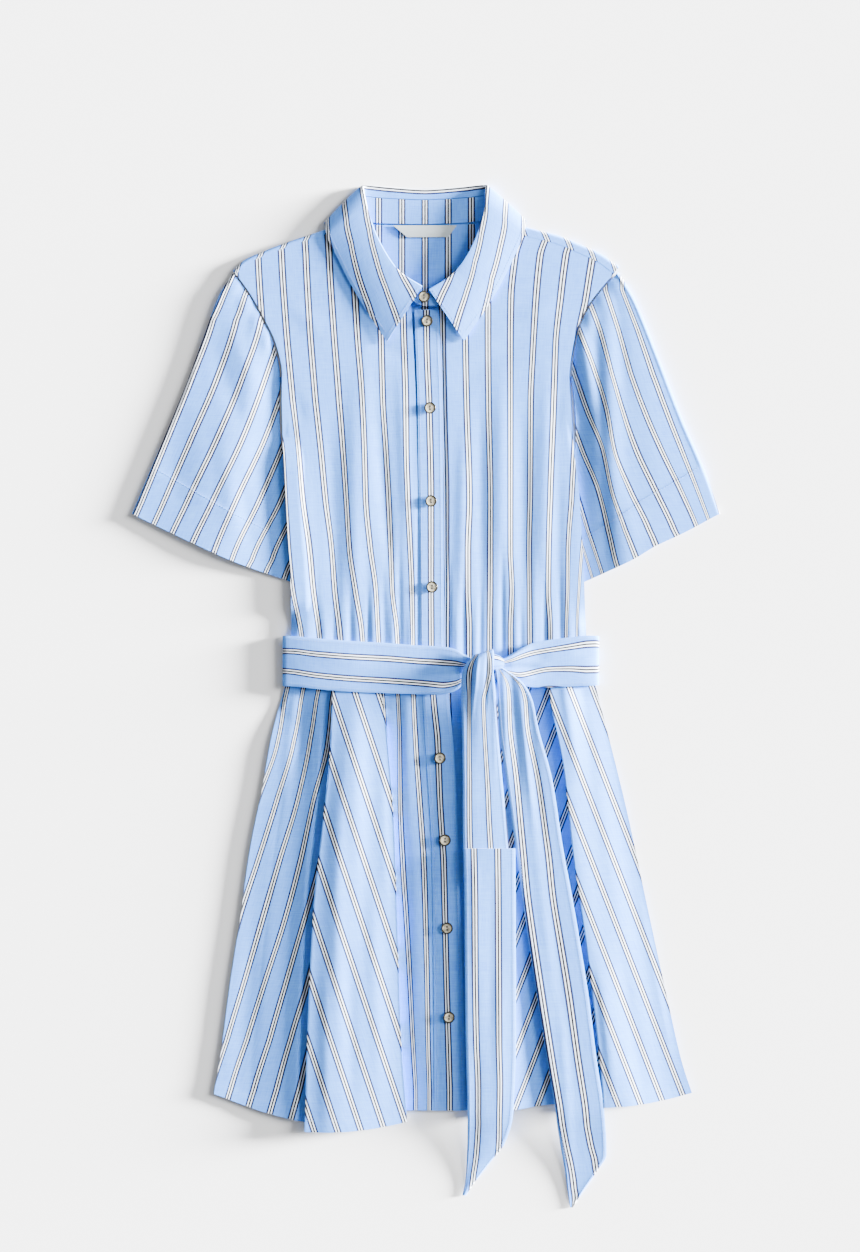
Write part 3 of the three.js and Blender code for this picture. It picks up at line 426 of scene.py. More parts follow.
@dataclass
class Sewing:
    """Makes the dress's sheets of one striped cloth, and sews them."""

    material: bpy.types.Material
    thread: bpy.types.Material
    made: dict[str, bpy.types.Object] = field(default_factory=dict)
    stitch: float = 2.0
    stitch_gap: float = 1.0
    stitch_width: float = 0.16

    def sew(self, name: str, surface: Area, seams: Sequence[Seam], lift: float) -> None:
        """Lays rows of stitches on a sheet.

        Args:
            name: the sheet's name.
            surface: the point at (u, v), in mm.
            seams: the rows.
            lift: from the middle of the sheet up to the middle of the thread, in mm.
        """
        dash = bmesh.new()
        bmesh.ops.create_uvsphere(dash, u_segments=6, v_segments=4, radius=1)
        shape = np.array([vertex.co for vertex in dash.verts])
        mesh = bpy.data.meshes.new("stitch")
        dash.to_mesh(mesh)
        dash.free()
        bm = bmesh.new()
        places = []
        for seam in seams:
            t = np.linspace(0, 1, 400)
            path = surface(mix(seam.start[0], seam.end[0], t), mix(seam.start[1], seam.end[1], t))
            reach = np.concatenate([[0], np.cumsum(np.linalg.norm(np.diff(path, axis=0), axis=1))])
            starts = np.arange(self.stitch_gap, reach[-1] - self.stitch, self.stitch + self.stitch_gap)
            ends = [
                stack(*[np.interp(starts + more, reach, path[:, k]) for k in range(3)])
                for more in (0, self.stitch)
            ]
            for a, b in zip(*ends):
                turn = np.array(Vector(b - a).to_track_quat("X", "Z").to_matrix())
                size = (np.linalg.norm(b - a) / 2, self.stitch_width, self.stitch_width)
                places.append((shape * size) @ turn.T + (a + b) / 2 + (0, 0, lift))
                bm.from_mesh(mesh)
        bpy.data.meshes.remove(mesh)
        for vertex, place in zip(bm.verts, np.concatenate(places) * MM):
            vertex.co = place
        obj = object_of(f"{name}_stitches", bm)
        obj.data.materials.append(self.thread)
        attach(obj, "root")

    def piece(
        self,
        name: str,
        nodes: tuple[str, ...],
        cut: Cut,
        surface: Area,
        cloth: Area,
        steps: tuple[int, int],
        thickness: float = CLOTH,
        ring: bool = False,
        turns: Sequence[bpy.types.Object] = (),
        seams: Sequence[Seam] = (),
        crisp: Sequence[float] = (),
    ) -> bpy.types.Object:
        """Args:
            name: the piece's name.
            nodes: the solids that it stands for.
            cut: its flat size and how it lies; it is not used.
            surface: the point at (u, v), in mm.
            cloth: across and along the cloth at (u, v), in mm.
            steps: steps in u and in v.
            thickness: its wall, in mm.
            ring: whether it closes on itself in u.
            turns: sheets that go on from its edges, which are joined to it.
            seams: the rows of stitches that show on it.
            crisp: the shares u of the columns where a fold starts crisply.

        Returns:
            The piece.
        """
        obj = grid_mesh(name, surface, cloth, *steps, ring=ring, crisp=crisp)
        for turn in turns:
            join(obj, turn)
        thicken(obj, thickness)
        obj.data.materials.append(self.material)
        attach(obj, "root")
        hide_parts(*nodes)
        list(cut.rests_on)
        if seams:
            self.sew(name, surface, seams, thickness / 2 + 0.08)
        self.made[name] = obj
        log.info("%s: %d faces", name, len(obj.data.polygons))
        return obj


# Outlines and levels that the panels share, in mm

WAIST_Y = -8.0
SKIRT_TOP = -8.7
SKIRT_HEM = -446.5
SEAM = 0.35
BACK_INSET = 1.2
SHOULDER_Z = 5.4
SEAM_INSET_RIGHT = 4.0
SEAM_INSET_LEFT = 8.0

SIDE_RIGHT = line((-139, WAIST_Y), (-139, 40), (-140, 84), (-144, 135), (-148, 202), (-150, 262))
SIDE_LEFT = line((159, WAIST_Y), (156, 40), (155, 84), (151, 165), (146, 214), (143, 262))
ARMHOLE_RIGHT = line(
    (-150, 262), (-150, 289), (-156, 318), (-170, 347), (-184, 371), (-198, 389.6)
)
ARMHOLE_LEFT = line((143, 262), (142, 287), (149, 330), (161, 357), (173, 373), (189, 391))
SHOULDER_RIGHT = line(
    (-197, 393), (-187, 403), (-163, 414), (-139, 423), (-104, 434.5), (-79, 443.5)
)
SHOULDER_LEFT = line(
    (189, 397.2), (171, 410), (147, 421), (130, 428), (95, 437), (68.5, 444.5)
)
NECK_RIGHT = line((-77.6, 438.8), (-72, 422), (-56, 396), (-36, 371), (-18.4, 357.5))
NECK_LEFT = line((66, 435.6), (60.5, 420), (47, 394), (30, 369), (4, 355))
BACK_NECK = line((-77, 440), (-45, 439.3), (-5, 438.8), (40, 440), (67, 441))

# The buttoned band: height, middle and half width
BAND = (
    (352, -3.2, 12.3), (256, 0, 12.3), (163, 1, 12.3), (77, 1.6, 12.2), (19, 2, 12),
    (-28, 5.5, 13), (-94, 10.5, 14), (-176, 14.8, 13.4), (-264, 17, 14), (-353, 19, 15),
    (-446, 20, 15.6),
)
BAND_TOP = 354.0
BAND_UNDER = 9.0
UNDERLAP = 1.25
band_x = ByHeight(BAND, 1)
band_half = ByHeight(BAND, 2)

FRONT_LEVEL = ByHeight(((400, 5.4), (330, 5.3), (250, 5.2), (170, 5.2), (90, 5.4), (-8, 6.2)))
SIDE_SAMPLES = np.linspace(1, 0, 13)
side_right_x = ByHeight(SIDE_RIGHT(SIDE_SAMPLES)[:, ::-1])
side_left_x = ByHeight(SIDE_LEFT(SIDE_SAMPLES)[:, ::-1])

# Small tucks that run up from the waist seam, deeper and closer together than the folds above
TUCKS = creases((
    (-127, -60, -133, 62, 3.4, -1.6), (-120, -60, -123, 80, 4.0, 1.0),
    (-110, -60, -114, 100, 3.0, -1.5), (-101, -60, -106, 66, 3.2, 1.2),
    (-95, -60, -97, 58, 2.4, -1.8), (-84, -60, -88, 120, 4.4, 1.2),
    (-78, -60, -80, 84, 2.6, -1.9), (-70, -60, -74, 70, 3.0, 1.3),
    (-61, -60, -62, 72, 2.2, -2.6), (-54, -60, -58, 110, 3.6, 1.5),
    (-43, -60, -47, 96, 3.2, -1.7), (-36, -60, -38, 64, 2.6, 1.4),
    (-29, -60, -31, 130, 2.8, -2.0), (-20, -60, -20, 62, 2.6, 1.3),
    (-12, -60, -12, 190, 1.8, -2.1), (19, -60, 20, 110, 2.0, -1.9),
    (27, -60, 27, 76, 2.8, 1.3), (34, -60, 33, 100, 2.2, -1.8),
    (45, -60, 46, 64, 3.2, 1.4), (50, -60, 51, 90, 2.4, -1.6),
    (66, -60, 66, 72, 3.4, 1.3), (73, -60, 72, 118, 2.6, -2.3),
    (87, -60, 86, 84, 3.0, 1.2), (92, -60, 91, 66, 2.6, -1.5),
    (104, -60, 105, 112, 3.6, 1.4), (115, -60, 114, 90, 2.6, -2.4),
    (124, -60, 122, 70, 3.0, 1.5), (131, -60, 130, 100, 2.6, -2.0),
    (142, -60, 139, 74, 3.0, 1.2), (149, -60, 146, 60, 2.6, -1.4),
))
# Long soft folds over the chest
CHEST = creases((
    (-74, 40, -76, 300, 9, 1.1), (-93, 60, -100, 250, 8, -0.8), (-40, 90, -52, 250, 6, -0.9),
    (-60, 110, -66, 330, 8, 0.7), (-120, 40, -130, 220, 9, 0.8), (-22, 120, -30, 300, 6, 0.7),
    (30, 60, 34, 240, 6, 0.7), (52, 50, 50, 270, 6, -0.8), (70, 90, 72, 300, 9, 1.0),
    (94, 60, 92, 260, 7, -0.9), (112, 80, 118, 300, 9, 0.9), (128, 40, 130, 200, 6, -0.6),
    (-15, 300, -90, 345, 10, -0.5), (20, 280, 110, 330, 12, -0.5), (-100, 330, -170, 372, 10, 0.6),
    (90, 345, 165, 380, 11, 0.6), (-128, 240, -146, 290, 7, -0.8), (126, 230, 141, 300, 7, -0.8),
))


def from_side(x: Array, y: Array) -> Array:
    """How far a point lies inside the body's nearer side."""
    return np.minimum(x - side_right_x(y), side_left_x(y) - x)


def back_z(x: Array, y: Array) -> Array:
    """Height of the back, which rises over the belt, the collar and the sleeves' undersides."""
    belt = 1.6 * smooth(-35, -25, y) * (1 - smooth(31, 41, y))
    collar = 1.7 * smooth(370, 392, y) * (1 - smooth(106, 124, np.abs(x + 5)))
    beside = smooth(38, 62, y) * (1 - smooth(196, 262, y)) * (1 - smooth(14, 34, from_side(x, y)))
    sleeve = np.where(x < 0, 4.9, 2.9) * beside
    return 0.5 + np.maximum(np.maximum(belt, collar), sleeve)


def front_z(x: Array, y: Array) -> Array:
    """Height of the front over the table."""
    inside = from_side(x, y)
    calm = (1 - smooth(345, 385, y)) * smooth(4, 30, inside)
    level = FRONT_LEVEL(y) + calm * 0.8 * CHEST(x, y)
    opened = np.maximum(smooth(-2, 8, inside), smooth(196, 246, y))
    edge = back_z(x, y) + 1.7
    settled = mix(edge, np.maximum(level, edge), opened)
    return settled + 0.26 * TUCKS(x, y) * smooth(2, 12, inside)


def underlap(x: Array, y: Array) -> Array:
    """How far the lapped-under front lies below the edge that covers it."""
    return UNDERLAP * (1 - smooth(0, 5, x - band_x(y) - band_half(y)))


def band_line(side: int, low: float, high: float, gap: float) -> Curve:
    """An edge of the buttoned band, or a line beside it.

    Args:
        side: -1 for the edge at -X and 1 for the one at +X.
        low: its lower end's height.
        high: its upper end's height.
        gap: from the edge outwards.

    Returns:
        The line, from low to high.
    """

    def place(t: Array) -> Array:
        y = mix(low, high, np.asarray(t, float))
        return stack(band_x(y) + side * (band_half(y) + gap), y)

    return place


def band_roll(x: Array, y: Array) -> Array:
    """How far the band's two edges roll down, less at the edge that is one with its panel."""
    across = (x - band_x(y)) / band_half(y)
    crease = mix(0.02, 0.12, 1 - smooth(60, 160, y))
    return np.where(across < 0, crease, 0.08) * smooth(0.78, 1, np.abs(across))


def lapped_edge(low: float, high: float) -> Curve:
    """The hidden edge of the front that laps under, from low to high."""

    def place(t: Array) -> Array:
        y = mix(low, high, np.asarray(t, float))
        return stack(band_x(y) - BAND_UNDER, y)

    return place


def on_table(area: Area, height: Field) -> Area:
    """Puts a flat area at a height that depends on the place."""

    def place(u: Array, v: Array) -> Array:
        p = area(u, v)
        x, y = p[..., 0], p[..., 1]
        return stack(x, y, height(x, y))

    return place


def marked(area: Area, chart: Field) -> Area:
    """A chart of x and y as one of u and v."""

    def place(u: Array, v: Array) -> Array:
        p = area(u, v)
        return chart(p[..., 0], p[..., 1])

    return place


FRONT_RIGHT_STRIPES = StripeTable(-8, (
    (444, -199, -174, -150.5, -126, -103, -79, -54, -30, -6),
    (410, -196, -172, -148.5, -124, -101, -77, -52, -28, -4),
    (334, -190.5, -167.3, -143.6, -120.1, -96.3, -73, -49, -26.5, -3),
    (264, -184, -160, -137.3, -114.6, -91, -67.6, -47.4, -24.3, -1.2),
    (214, -162, -147, -131.9, -109.1, -87, -65.6, -44, -23.9, -0.6),
    (164, -158, -144.4, -127.5, -104.3, -83.6, -64.4, -41.1, -22.4, 1),
    (114, -156, -141.6, -120.5, -98, -80.8, -59.5, -39.2, -19.8, 0.5),
    (74, -154, -137.3, -116.7, -95.2, -74.7, -53.9, -38, -18.1, 1),
    (34, -147, -129.2, -111.2, -90.6, -67.9, -52.2, -33, -17.5, 0.7),
    (-8, -142, -124, -107, -87, -65, -50, -31, -17, 1),
))
FRONT_LEFT_STRIPES = StripeTable(1, (
    (437, 10, 36, 64, 94.7, 121, 146, 172, 198),
    (410, 11, 35, 60, 85.5, 110.3, 136, 163, 190),
    (364, 12, 35, 58, 80.7, 105.9, 130.2, 155.6, 180),
    (324, 12.7, 35.5, 58, 80.3, 103.4, 125.9, 147.9, 170),
    (264, 13.8, 36.7, 58.5, 80.5, 100.5, 123.7, 146.5, 168),
    (164, 16, 39.6, 60.5, 80.4, 100, 120.1, 141.8, 160),
    (114, 16.2, 37.9, 60.4, 80.5, 99, 118.7, 138.6, 152),
    (74, 16.8, 38, 60.2, 82.2, 99.3, 118.2, 138.2, 149),
    (34, 16.3, 39.5, 59.6, 80.8, 99.7, 120.5, 136.6, 147),
    (-8, 16.5, 39.5, 59.5, 81, 100, 120.5, 136, 147),
))
BAND_STRIPES = StripeTable(-1, (
    (400, -27, -4, 19), (321, -26, -3.2, 19.5), (256, -23.5, -0.8, 22), (163, -22, 1, 24), (77, -20, 1, 23),
    (-8, -19, 1.5, 24), (-36, -17, 3.6, 26), (-76, -15, 7.7, 30), (-136, -11, 9.8, 32), (-196, -8, 13.5, 36),
    (-316, -4, 16.4, 38), (-426, -2, 19.6, 41),
))
BACK_STRIPES = Slant(-5, 440, 0.0, 23.2)


@dataclass
class Bodice:
    """The two front panels, the buttoned band and the back with its turn over the shoulders."""

    sewing: Sewing
    side_share: float = 0.62
    seam_step: float = 0.08
    shoulder_lap: float = 1.0
    shoulder_tuck: float = 2.4

    def body_side(self, side: Curve, armhole: Curve) -> Curve:
        """A whole side edge, from the waist past the underarm to the shoulder."""
        return chain((side, self.side_share), (armhole, 1 - self.side_share))

    def seam_dip(self, x: Array, y: Array) -> Array:
        """How the front dips into the armhole seam."""
        near = np.full_like(x, 99.0)
        for edge in (ARMHOLE_RIGHT, ARMHOLE_LEFT):
            for px, py in edge(np.linspace(0.2, 1, 60)):
                near = np.minimum(near, np.hypot(x - px, y - py))
        return -0.12 * (1 - smooth(0, 4.5, near))

    def front_height(self, x: Array, y: Array) -> Array:
        """Height of the front panels, with the dip into the armhole seam."""
        return front_z(x, y) + self.seam_dip(x, y)

    def front_right(self) -> None:
        """The front panel that laps over."""
        seam = moved(SHOULDER_RIGHT, -SEAM_INSET_RIGHT + self.shoulder_lap)
        cut = band_line(-1, WAIST_Y, BAND_TOP + 1, -1.2)
        top = chain((seam, 12), (NECK_RIGHT, 10))
        low = straight(SIDE_RIGHT(np.float64(0)), cut(np.float64(0)))
        area = patch(low, top, self.body_side(SIDE_RIGHT, ARMHOLE_RIGHT), cut)

        def height(x: Array, y: Array) -> Array:
            hidden = smooth(-0.2, 1, x - band_x(y) + band_half(y))
            return self.front_height(x, y) - self.seam_step * hidden

        self.sewing.piece(
            "bodice_front_right_cloth", ("bodice_front_right",),
            Cut(0.185, 0.455, 0.059, Held.GATHERED, ("bodice_back", "sleeve_right")),
            on_table(area, height), marked(area, FRONT_RIGHT_STRIPES), (140, 120),
        )

    def front_left(self) -> None:
        """The front panel that laps under."""
        seam = moved(SHOULDER_LEFT, SEAM_INSET_LEFT - self.shoulder_lap)
        inner = lapped_edge(WAIST_Y, BAND_TOP)
        ends = np.array([0.0, 1.0])
        top = chain(
            (straight(inner(ends)[1], NECK_LEFT(ends)[1]), 2), (flipped(NECK_LEFT), 10), (flipped(seam), 12)
        )
        low = straight(inner(ends)[0], SIDE_LEFT(ends)[0])
        area = patch(low, top, inner, self.body_side(SIDE_LEFT, ARMHOLE_LEFT))

        def height(x: Array, y: Array) -> Array:
            return self.front_height(x, y) - underlap(x, y)

        self.sewing.piece(
            "bodice_front_left_cloth", ("bodice_front_left",),
            Cut(0.21, 0.455, 0.0675, Held.GATHERED, ("bodice_back", "sleeve_left")),
            on_table(area, height), marked(area, FRONT_LEFT_STRIPES), (160, 120),
        )

    def band(self) -> None:
        """The buttoned band of the front that laps over, of two layers."""
        left = band_line(-1, WAIST_Y, BAND_TOP, 0)
        right = band_line(1, WAIST_Y, BAND_TOP, 0)

        def area(u: Array, v: Array) -> Array:
            return mix(left(v), right(v), u[..., None])

        def height(x: Array, y: Array) -> Array:
            return front_z(x, y) - 0.12 - band_roll(x, y)

        self.sewing.piece(
            "band_bodice_cloth", ("placket_bodice",),
            Cut(0.025, 0.375, 0.009, Held.FOLDED, ("bodice_front_left",)),
            on_table(area, height), marked(area, BAND_STRIPES), (18, 200), DOUBLED,
            seams=(Seam((0.1, 0.0), (0.1, 1.0)), Seam((0.9, 0.0), (0.9, 1.0))),
        )

    def back(self) -> None:
        """The back, which turns over each shoulder to the seam in front."""
        low = straight(
            SIDE_RIGHT(np.float64(0)) + (BACK_INSET, 0), SIDE_LEFT(np.float64(0)) - (BACK_INSET, 0)
        )
        top = chain(
            (moved(SHOULDER_RIGHT, -self.shoulder_tuck), 5), (BACK_NECK, 5),
            (flipped(moved(SHOULDER_LEFT, self.shoulder_tuck)), 5),
        )

        def inset(curve: Curve, side: int) -> Curve:
            return lambda t: curve(t) + np.array([side * BACK_INSET, 0])

        left = inset(self.body_side(SIDE_RIGHT, ARMHOLE_RIGHT), 1)
        right = inset(self.body_side(SIDE_LEFT, ARMHOLE_LEFT), -1)
        area = patch(low, top, left, right)
        self.sewing.piece(
            "bodice_back_cloth", ("bodice_back",),
            Cut(0.395, 0.47, 0.144, Held.GATHERED, ("belt_back", "sleeve_right", "sleeve_left", "collar_fall")),
            on_table(area, back_z), marked(area, BACK_STRIPES), (110, 110),
            turns=(
                self.over_shoulder(SHOULDER_RIGHT, -1, SEAM_INSET_RIGHT, 0.42),
                self.over_shoulder(SHOULDER_LEFT, 1, SEAM_INSET_LEFT, -0.42),
            ),
        )

    def over_shoulder(self, fold: Curve, side: int, inset: float, lean: float) -> bpy.types.Object:
        """The back's cloth as it turns over a shoulder to the seam in front.

        Args:
            fold: the fold along the shoulder.
            side: 1 if the way in is to the fold's left, and -1 if to its right.
            inset: from the fold to the seam.
            lean: how the stripes lean on the strip that shows in front.

        Returns:
            The sheet, whose first edge is part of the back's top edge.
        """
        inwards = moved(fold, side)
        under, over = 0.2, 0.75  # shares of the rows where the turn starts and ends

        def surface(u: Array, v: Array) -> Array:
            p = fold(u)
            way = inwards(u) - p
            way /= np.linalg.norm(way, axis=-1, keepdims=True)
            low = back_z(p[..., 0], p[..., 1])
            radius = (SHOULDER_Z + 0.1 - low) / 2
            angle = np.clip((v - under) / (over - under), 0, 1) * math.pi - math.pi / 2
            reach = radius - radius * np.cos(angle)
            reach += (self.shoulder_tuck - radius) * np.clip(1 - v / under, 0, 1)
            reach += (inset + 0.4 - radius) * np.clip((v - over) / (1 - over), 0, 1)
            place = p + way * reach[..., None]
            x, y = place[..., 0], place[..., 1]
            z = np.where(v < under, back_z(x, y), low + radius + radius * np.sin(angle))
            return stack(x, y, z)

        def cloth(u: Array, v: Array) -> Array:
            p = surface(u, v)
            turned = np.clip((v - 0.4) / 0.6, 0, 1) * inset
            return BACK_STRIPES(p[..., 0] + lean * turned * 2, p[..., 1] + turned)

        return grid_mesh("over_shoulder", surface, cloth, 50, 22, flip=side < 0)

    def build(self) -> None:
        """Makes every piece of the bodice."""
        self.back()
        self.front_right()
        self.front_left()
        self.band()


@dataclass
class Sleeve:
    """One short sleeve, a flattened tube from the armhole to the cuff."""

    sewing: Sewing
    side_name: str
    armhole: Curve
    top: Curve
    under: Curve
    cuff: Curve
    stripes: StripeTable
    folds: Field
    cut: Cut
    flat: float = 1.5
    level: float = 4.3
    hem: float = 48.0
    length: float = 245.0
    across: float = 0.44  # share of the way round that each layer takes
    head: float = 0.5  # how far it stands over the armhole's seam
    puff: float = 1.0  # how much higher it stands between its edges
    fall: float = 0.6  # the share of that which is left at its top edge
    settle: float = 0.62  # where it starts to fall to the underarm edge, as a share of the way there

    def rise(self, t: Array, s: Array) -> Array:
        """Height of the upper layer over the lower one, before its creases."""
        swell = mix(SHOULDER_Z - 0.5, self.level, smooth(0, 0.4, s)) + 0.5 * np.sin(math.pi * s)
        swell = swell + self.head * smooth(0, 0.05, s) * (1 - smooth(0.1, 0.4, s))
        stand = mix(self.fall, 1, smooth(0, 0.5, t)) * (1 - smooth(self.settle, 1, t))
        swell = swell + self.puff * smooth(0.06, 0.5, s) * stand
        return mix(swell, self.flat, smooth(self.settle, 0.95, t))

    def away(self, area: Area, end: float, s: Array) -> Array:
        """The level direction square to the tube's top or underarm edge, away from the tube."""
        small = 0.01
        edge = np.full_like(s, end)
        along = area(edge, np.minimum(s + small, 1)) - area(edge, np.maximum(s - small, 0))
        along /= np.linalg.norm(along, axis=-1, keepdims=True)
        square = stack(-along[..., 1], along[..., 0])
        outwards = area(edge, s) - area(1 - edge, s)
        return square * np.sign((square * outwards).sum(-1, keepdims=True))

    def build(self) -> bpy.types.Object:
        """Makes the sleeve.

        Returns:
            The piece.
        """
        area = patch(self.armhole, self.cuff, self.top, self.under)
        turn = 0.5 - self.across

        def surface(u: Array, s: Array) -> Array:
            lower = u <= self.across
            round_under = (u > self.across) & (u < 0.5)
            upper = (u >= 0.5) & (u <= 0.5 + self.across)
            t = np.select(
                [lower, round_under, upper],
                [u / self.across, np.ones_like(u), 1 - (u - 0.5) / self.across],
                0.0,
            )
            angle = np.select(
                [lower, round_under, upper],
                [np.zeros_like(u), math.pi * (u - self.across) / turn, np.full_like(u, math.pi)],
                math.pi * (1 - (u - 0.5 - self.across) / turn),
            )
            ends = [self.rise(np.full_like(s, end), s) / 2 for end in (0.0, 1.0)]
            from_top = self.away(area, 0.0, s) * ends[0][..., None]
            from_under = self.away(area, 1.0, s) * ends[1][..., None]
            w = t[..., None]
            p = area(t, s) - from_top * (1 - w) - from_under * w
            p = p + np.where(w > 0.5, from_under, from_top) * (np.sin(angle) * ~(lower | upper))[..., None]
            x, y = p[..., 0], p[..., 1]
            z = 0.5 + self.rise(t, s) / 2 * (1 - np.cos(angle))
            creased = 0.36 * self.folds(x, y) * upper * smooth(0, 0.08, s) * np.sin(math.pi * t) ** 0.5
            gathered = 0.16 * np.sin(34 * t) * (1 - smooth(0.02, 0.16, s)) * upper * smooth(0, 0.1, t)
            tucked = 0.35 * (1 - smooth(0, 0.02, s)) * np.where(upper, -1.0, 1.0)
            hem = 0.25 * smooth(0, 1.6, self.from_cuff(s) - self.hem) * upper
            return stack(x, y, np.maximum(z + creased + gathered + tucked - hem, 0.5))

        def cloth(u: Array, s: Array) -> Array:
            p = surface(u, s)
            return self.stripes(p[..., 0], p[..., 1])

        return self.sewing.piece(
            f"sleeve_{self.side_name}_cloth", (f"sleeve_{self.side_name}",), self.cut,
            surface, cloth, (220, 80), ring=True,
            seams=(Seam((0.5, 1 - self.hem / self.length), (0.5 + self.across, 1 - self.hem / self.length)),),
        )

    def from_cuff(self, s: Array) -> Array:
        """About how far along the sleeve a share s is from the cuff's edge, in mm."""
        return self.length * (1 - s)


SLEEVE_RIGHT_STRIPES = StripeTable(0, (
    (404, -191, -169, -147, -124, -101, -80, -60, -40),
    (374, -203.5, -183, -161, -138, -115, -92, -70, -48),
    (344, -216.9, -193.7, -168.5, -147, -125, -103, -81, -60),
    (284, -239, -213.5, -188.3, -165.1, -144, -124, -104, -84),
    (224, -263, -239.5, -213.4, -187.7, -165.7, -145, -126, -106),
    (164, -287.5, -265.4, -242.1, -216.4, -193.6, -170.4, -149, -130),
    (104, -312, -290, -268, -243.5, -218, -198, -178, -158),
    (74, -324, -302, -280, -256, -232, -212, -192, -171),
))
SLEEVE_LEFT_STRIPES = StripeTable(-7, (
    (374, 50, 70, 91, 111, 132, 155, 175.5, 192),
    (334, 76, 95, 114, 130, 149, 170, 188.3, 207.5),
    (290, 92, 108, 126, 144.4, 166, 181.5, 200.5, 222.5),
    (254, 104, 120, 138, 157, 177, 192, 214, 236),
    (214, 118, 134, 152, 173.5, 183.5, 206, 231.5, 251.5),
    (174, 132, 145, 169, 181, 199.5, 225, 251, 267.3),
    (134, 147, 157, 178.5, 194.5, 219, 244, 268.5, 282),
    (104, 157, 167.5, 185, 206.6, 231.5, 258, 281, 294),
    (74, 166, 177, 195, 218, 244, 270, 292, 306),
))


def sleeve_right(sewing: Sewing) -> Sleeve:
    """The sleeve at -X."""
    return Sleeve(
        sewing=sewing,
        side_name="right",
        armhole=flipped(moved(part_of(ARMHOLE_RIGHT, 0.18, 1), -0.7)),
        top=line(
            (-200.5, 390), (-213, 370), (-230, 323), (-245, 281), (-262, 238), (-280, 194), (-298, 150)
        ),
        under=line(
            (-149.5, 287), (-151, 262), (-150.6, 238), (-149, 220), (-143, 192), (-137, 140), (-129.5, 78.3)
        ),
        cuff=line((-298, 150), (-237, 121), (-194, 102), (-140, 83), (-129.5, 78.3)),
        stripes=SLEEVE_RIGHT_STRIPES,
        folds=creases((
            (-222, 330, -180, 220, 11, -1.7), (-180, 250, -152, 120, 12, -1.8), (-205, 350, -170, 262, 8, 0.9),
            (-240, 280, -222, 150, 16, 1.4), (-210, 240, -192, 120, 11, 1.5), (-172, 330, -160, 260, 7, -0.9),
            (-262, 220, -250, 150, 9, -0.8), (-190, 190, -176, 104, 7, -0.9), (-165, 230, -150, 170, 6, -1.1),
        )),
        cut=Cut(0.335, 0.28, 0.0585, Held.LAID, ("table",)),
        puff=1.6,
        fall=0.0,
        flat=2.6,
        settle=0.5,
    )


def sleeve_left(sewing: Sewing) -> Sleeve:
    """The sleeve at +X."""
    return Sleeve(
        sewing=sewing,
        side_name="left",
        armhole=flipped(moved(part_of(ARMHOLE_LEFT, 0.18, 1), 0.7)),
        top=line((192.5, 393), (207, 369), (231, 308), (243, 275), (255, 243), (274, 197), (290, 150)),
        under=line((141.8, 285), (144.6, 262), (146.2, 238), (146.4, 220), (141, 192), (142, 140), (144.4, 78.3)),
        cuff=line((290, 150), (255, 131.5), (226, 118), (204, 105), (156, 83), (144.4, 78.3)),
        stripes=SLEEVE_LEFT_STRIPES,
        folds=creases((
            (165, 360, 173, 170, 6, -2.2), (178, 350, 186, 120, 9, 1.9), (186, 370, 196, 270, 7, -1.2),
            (160, 262, 160, 180, 8, -1.7), (172, 200, 178, 90, 7, -1.8), (206, 330, 236, 150, 16, 1.2),
            (224, 300, 262, 160, 12, 0.8), (152, 330, 156, 250, 6, 1.0), (192, 180, 206, 110, 8, 0.9),
        )),
        cut=Cut(0.32, 0.27, 0.0578, Held.LAID, ("table",)),
    )


# Skirt

OUTLINE_RIGHT = line(
    (-141, SKIRT_TOP), (-146, -26), (-158, -71), (-168, -126), (-180, -186), (-190, -256),
    (-200, -321), (-208, -381), (-216, -430),
)
OUTLINE_LEFT = line(
    (161, SKIRT_TOP), (165, -20), (176, -62), (197, -147), (216, -236), (234, -319), (252, -398), (262, -429)
)
FLUTE_OUTER = line((-97, SKIRT_TOP), (-99, -73), (-108, -166), (-116, -240), (-122, -361), (-125, -467))
FLUTE_INNER = line((-52, SKIRT_TOP), (-46, -46), (-36, -166), (-33, -256), (-29, -376), (-23, -457))
VALLEY_INNER = line((58, SKIRT_TOP), (58, -90), (59, -200), (60, -330), (61, -451))
VALLEY_OUTER = line(
    (118, SKIRT_TOP), (121, -40), (133, -100), (143, -190), (157, -287), (167, -372), (174, -443)
)
HEM_RIGHT = line((-216, -430), (-166, -448), (-125, -458), (-104, -461))
HEM_BACK = line((-213, -427), (-125, -438), (0, -441), (122, -433), (259, -426))

SIDE_RIGHT_STRIPES = StripeTable(0, (
    (-8, -139, -124, -108, -93, -78, -63, -48),
    (-36, -145.3, -128.9, -113.7, -98, -82, -66, -50),
    (-76, -152, -136, -120, -101.8, -84, -66, -48),
    (-136, -172.3, -153.2, -131.9, -116.7, -97, -77, -57),
    (-196, -192, -172, -150.3, -129.3, -109, -88, -67),
    (-256, -213, -191.6, -167.7, -145, -126, -106, -86),
    (-316, -230, -207, -185.1, -164.5, -143.3, -121.5, -100),
    (-376, -248, -225, -203, -183.5, -160.4, -139.6, -118),
    (-426, -263, -241, -219, -199.9, -176.3, -153.5, -130.9),
    (-466, -275, -253, -231, -211, -188, -165, -142),
))
FLUTE_STRIPES = Slant(-95.8, -36, -0.335, 23.4)
CENTRE_STRIPES = StripeTable(-3, (
    (-8, -50, -34, -18, 2), (-36, -47, -31.8, -16.7, 3.6), (-76, -45, -30.4, -14.8, 7.7),
    (-136, -46, -30, -10.4, 9.8), (-196, -46, -27.5, -6.3, 13.5), (-256, -43, -23.5, -4.5, 15.5),
    (-316, -39, -20, -3.2, 16.4), (-376, -36, -17, -2.4, 18.2), (-426, -33, -14, -1.2, 19.6),
))
CENTRE_LEFT_STRIPES = Slant(40, -36, -0.03, 22)
RECESS_STRIPES = Slant(119, -26, 0.39, 21.5)
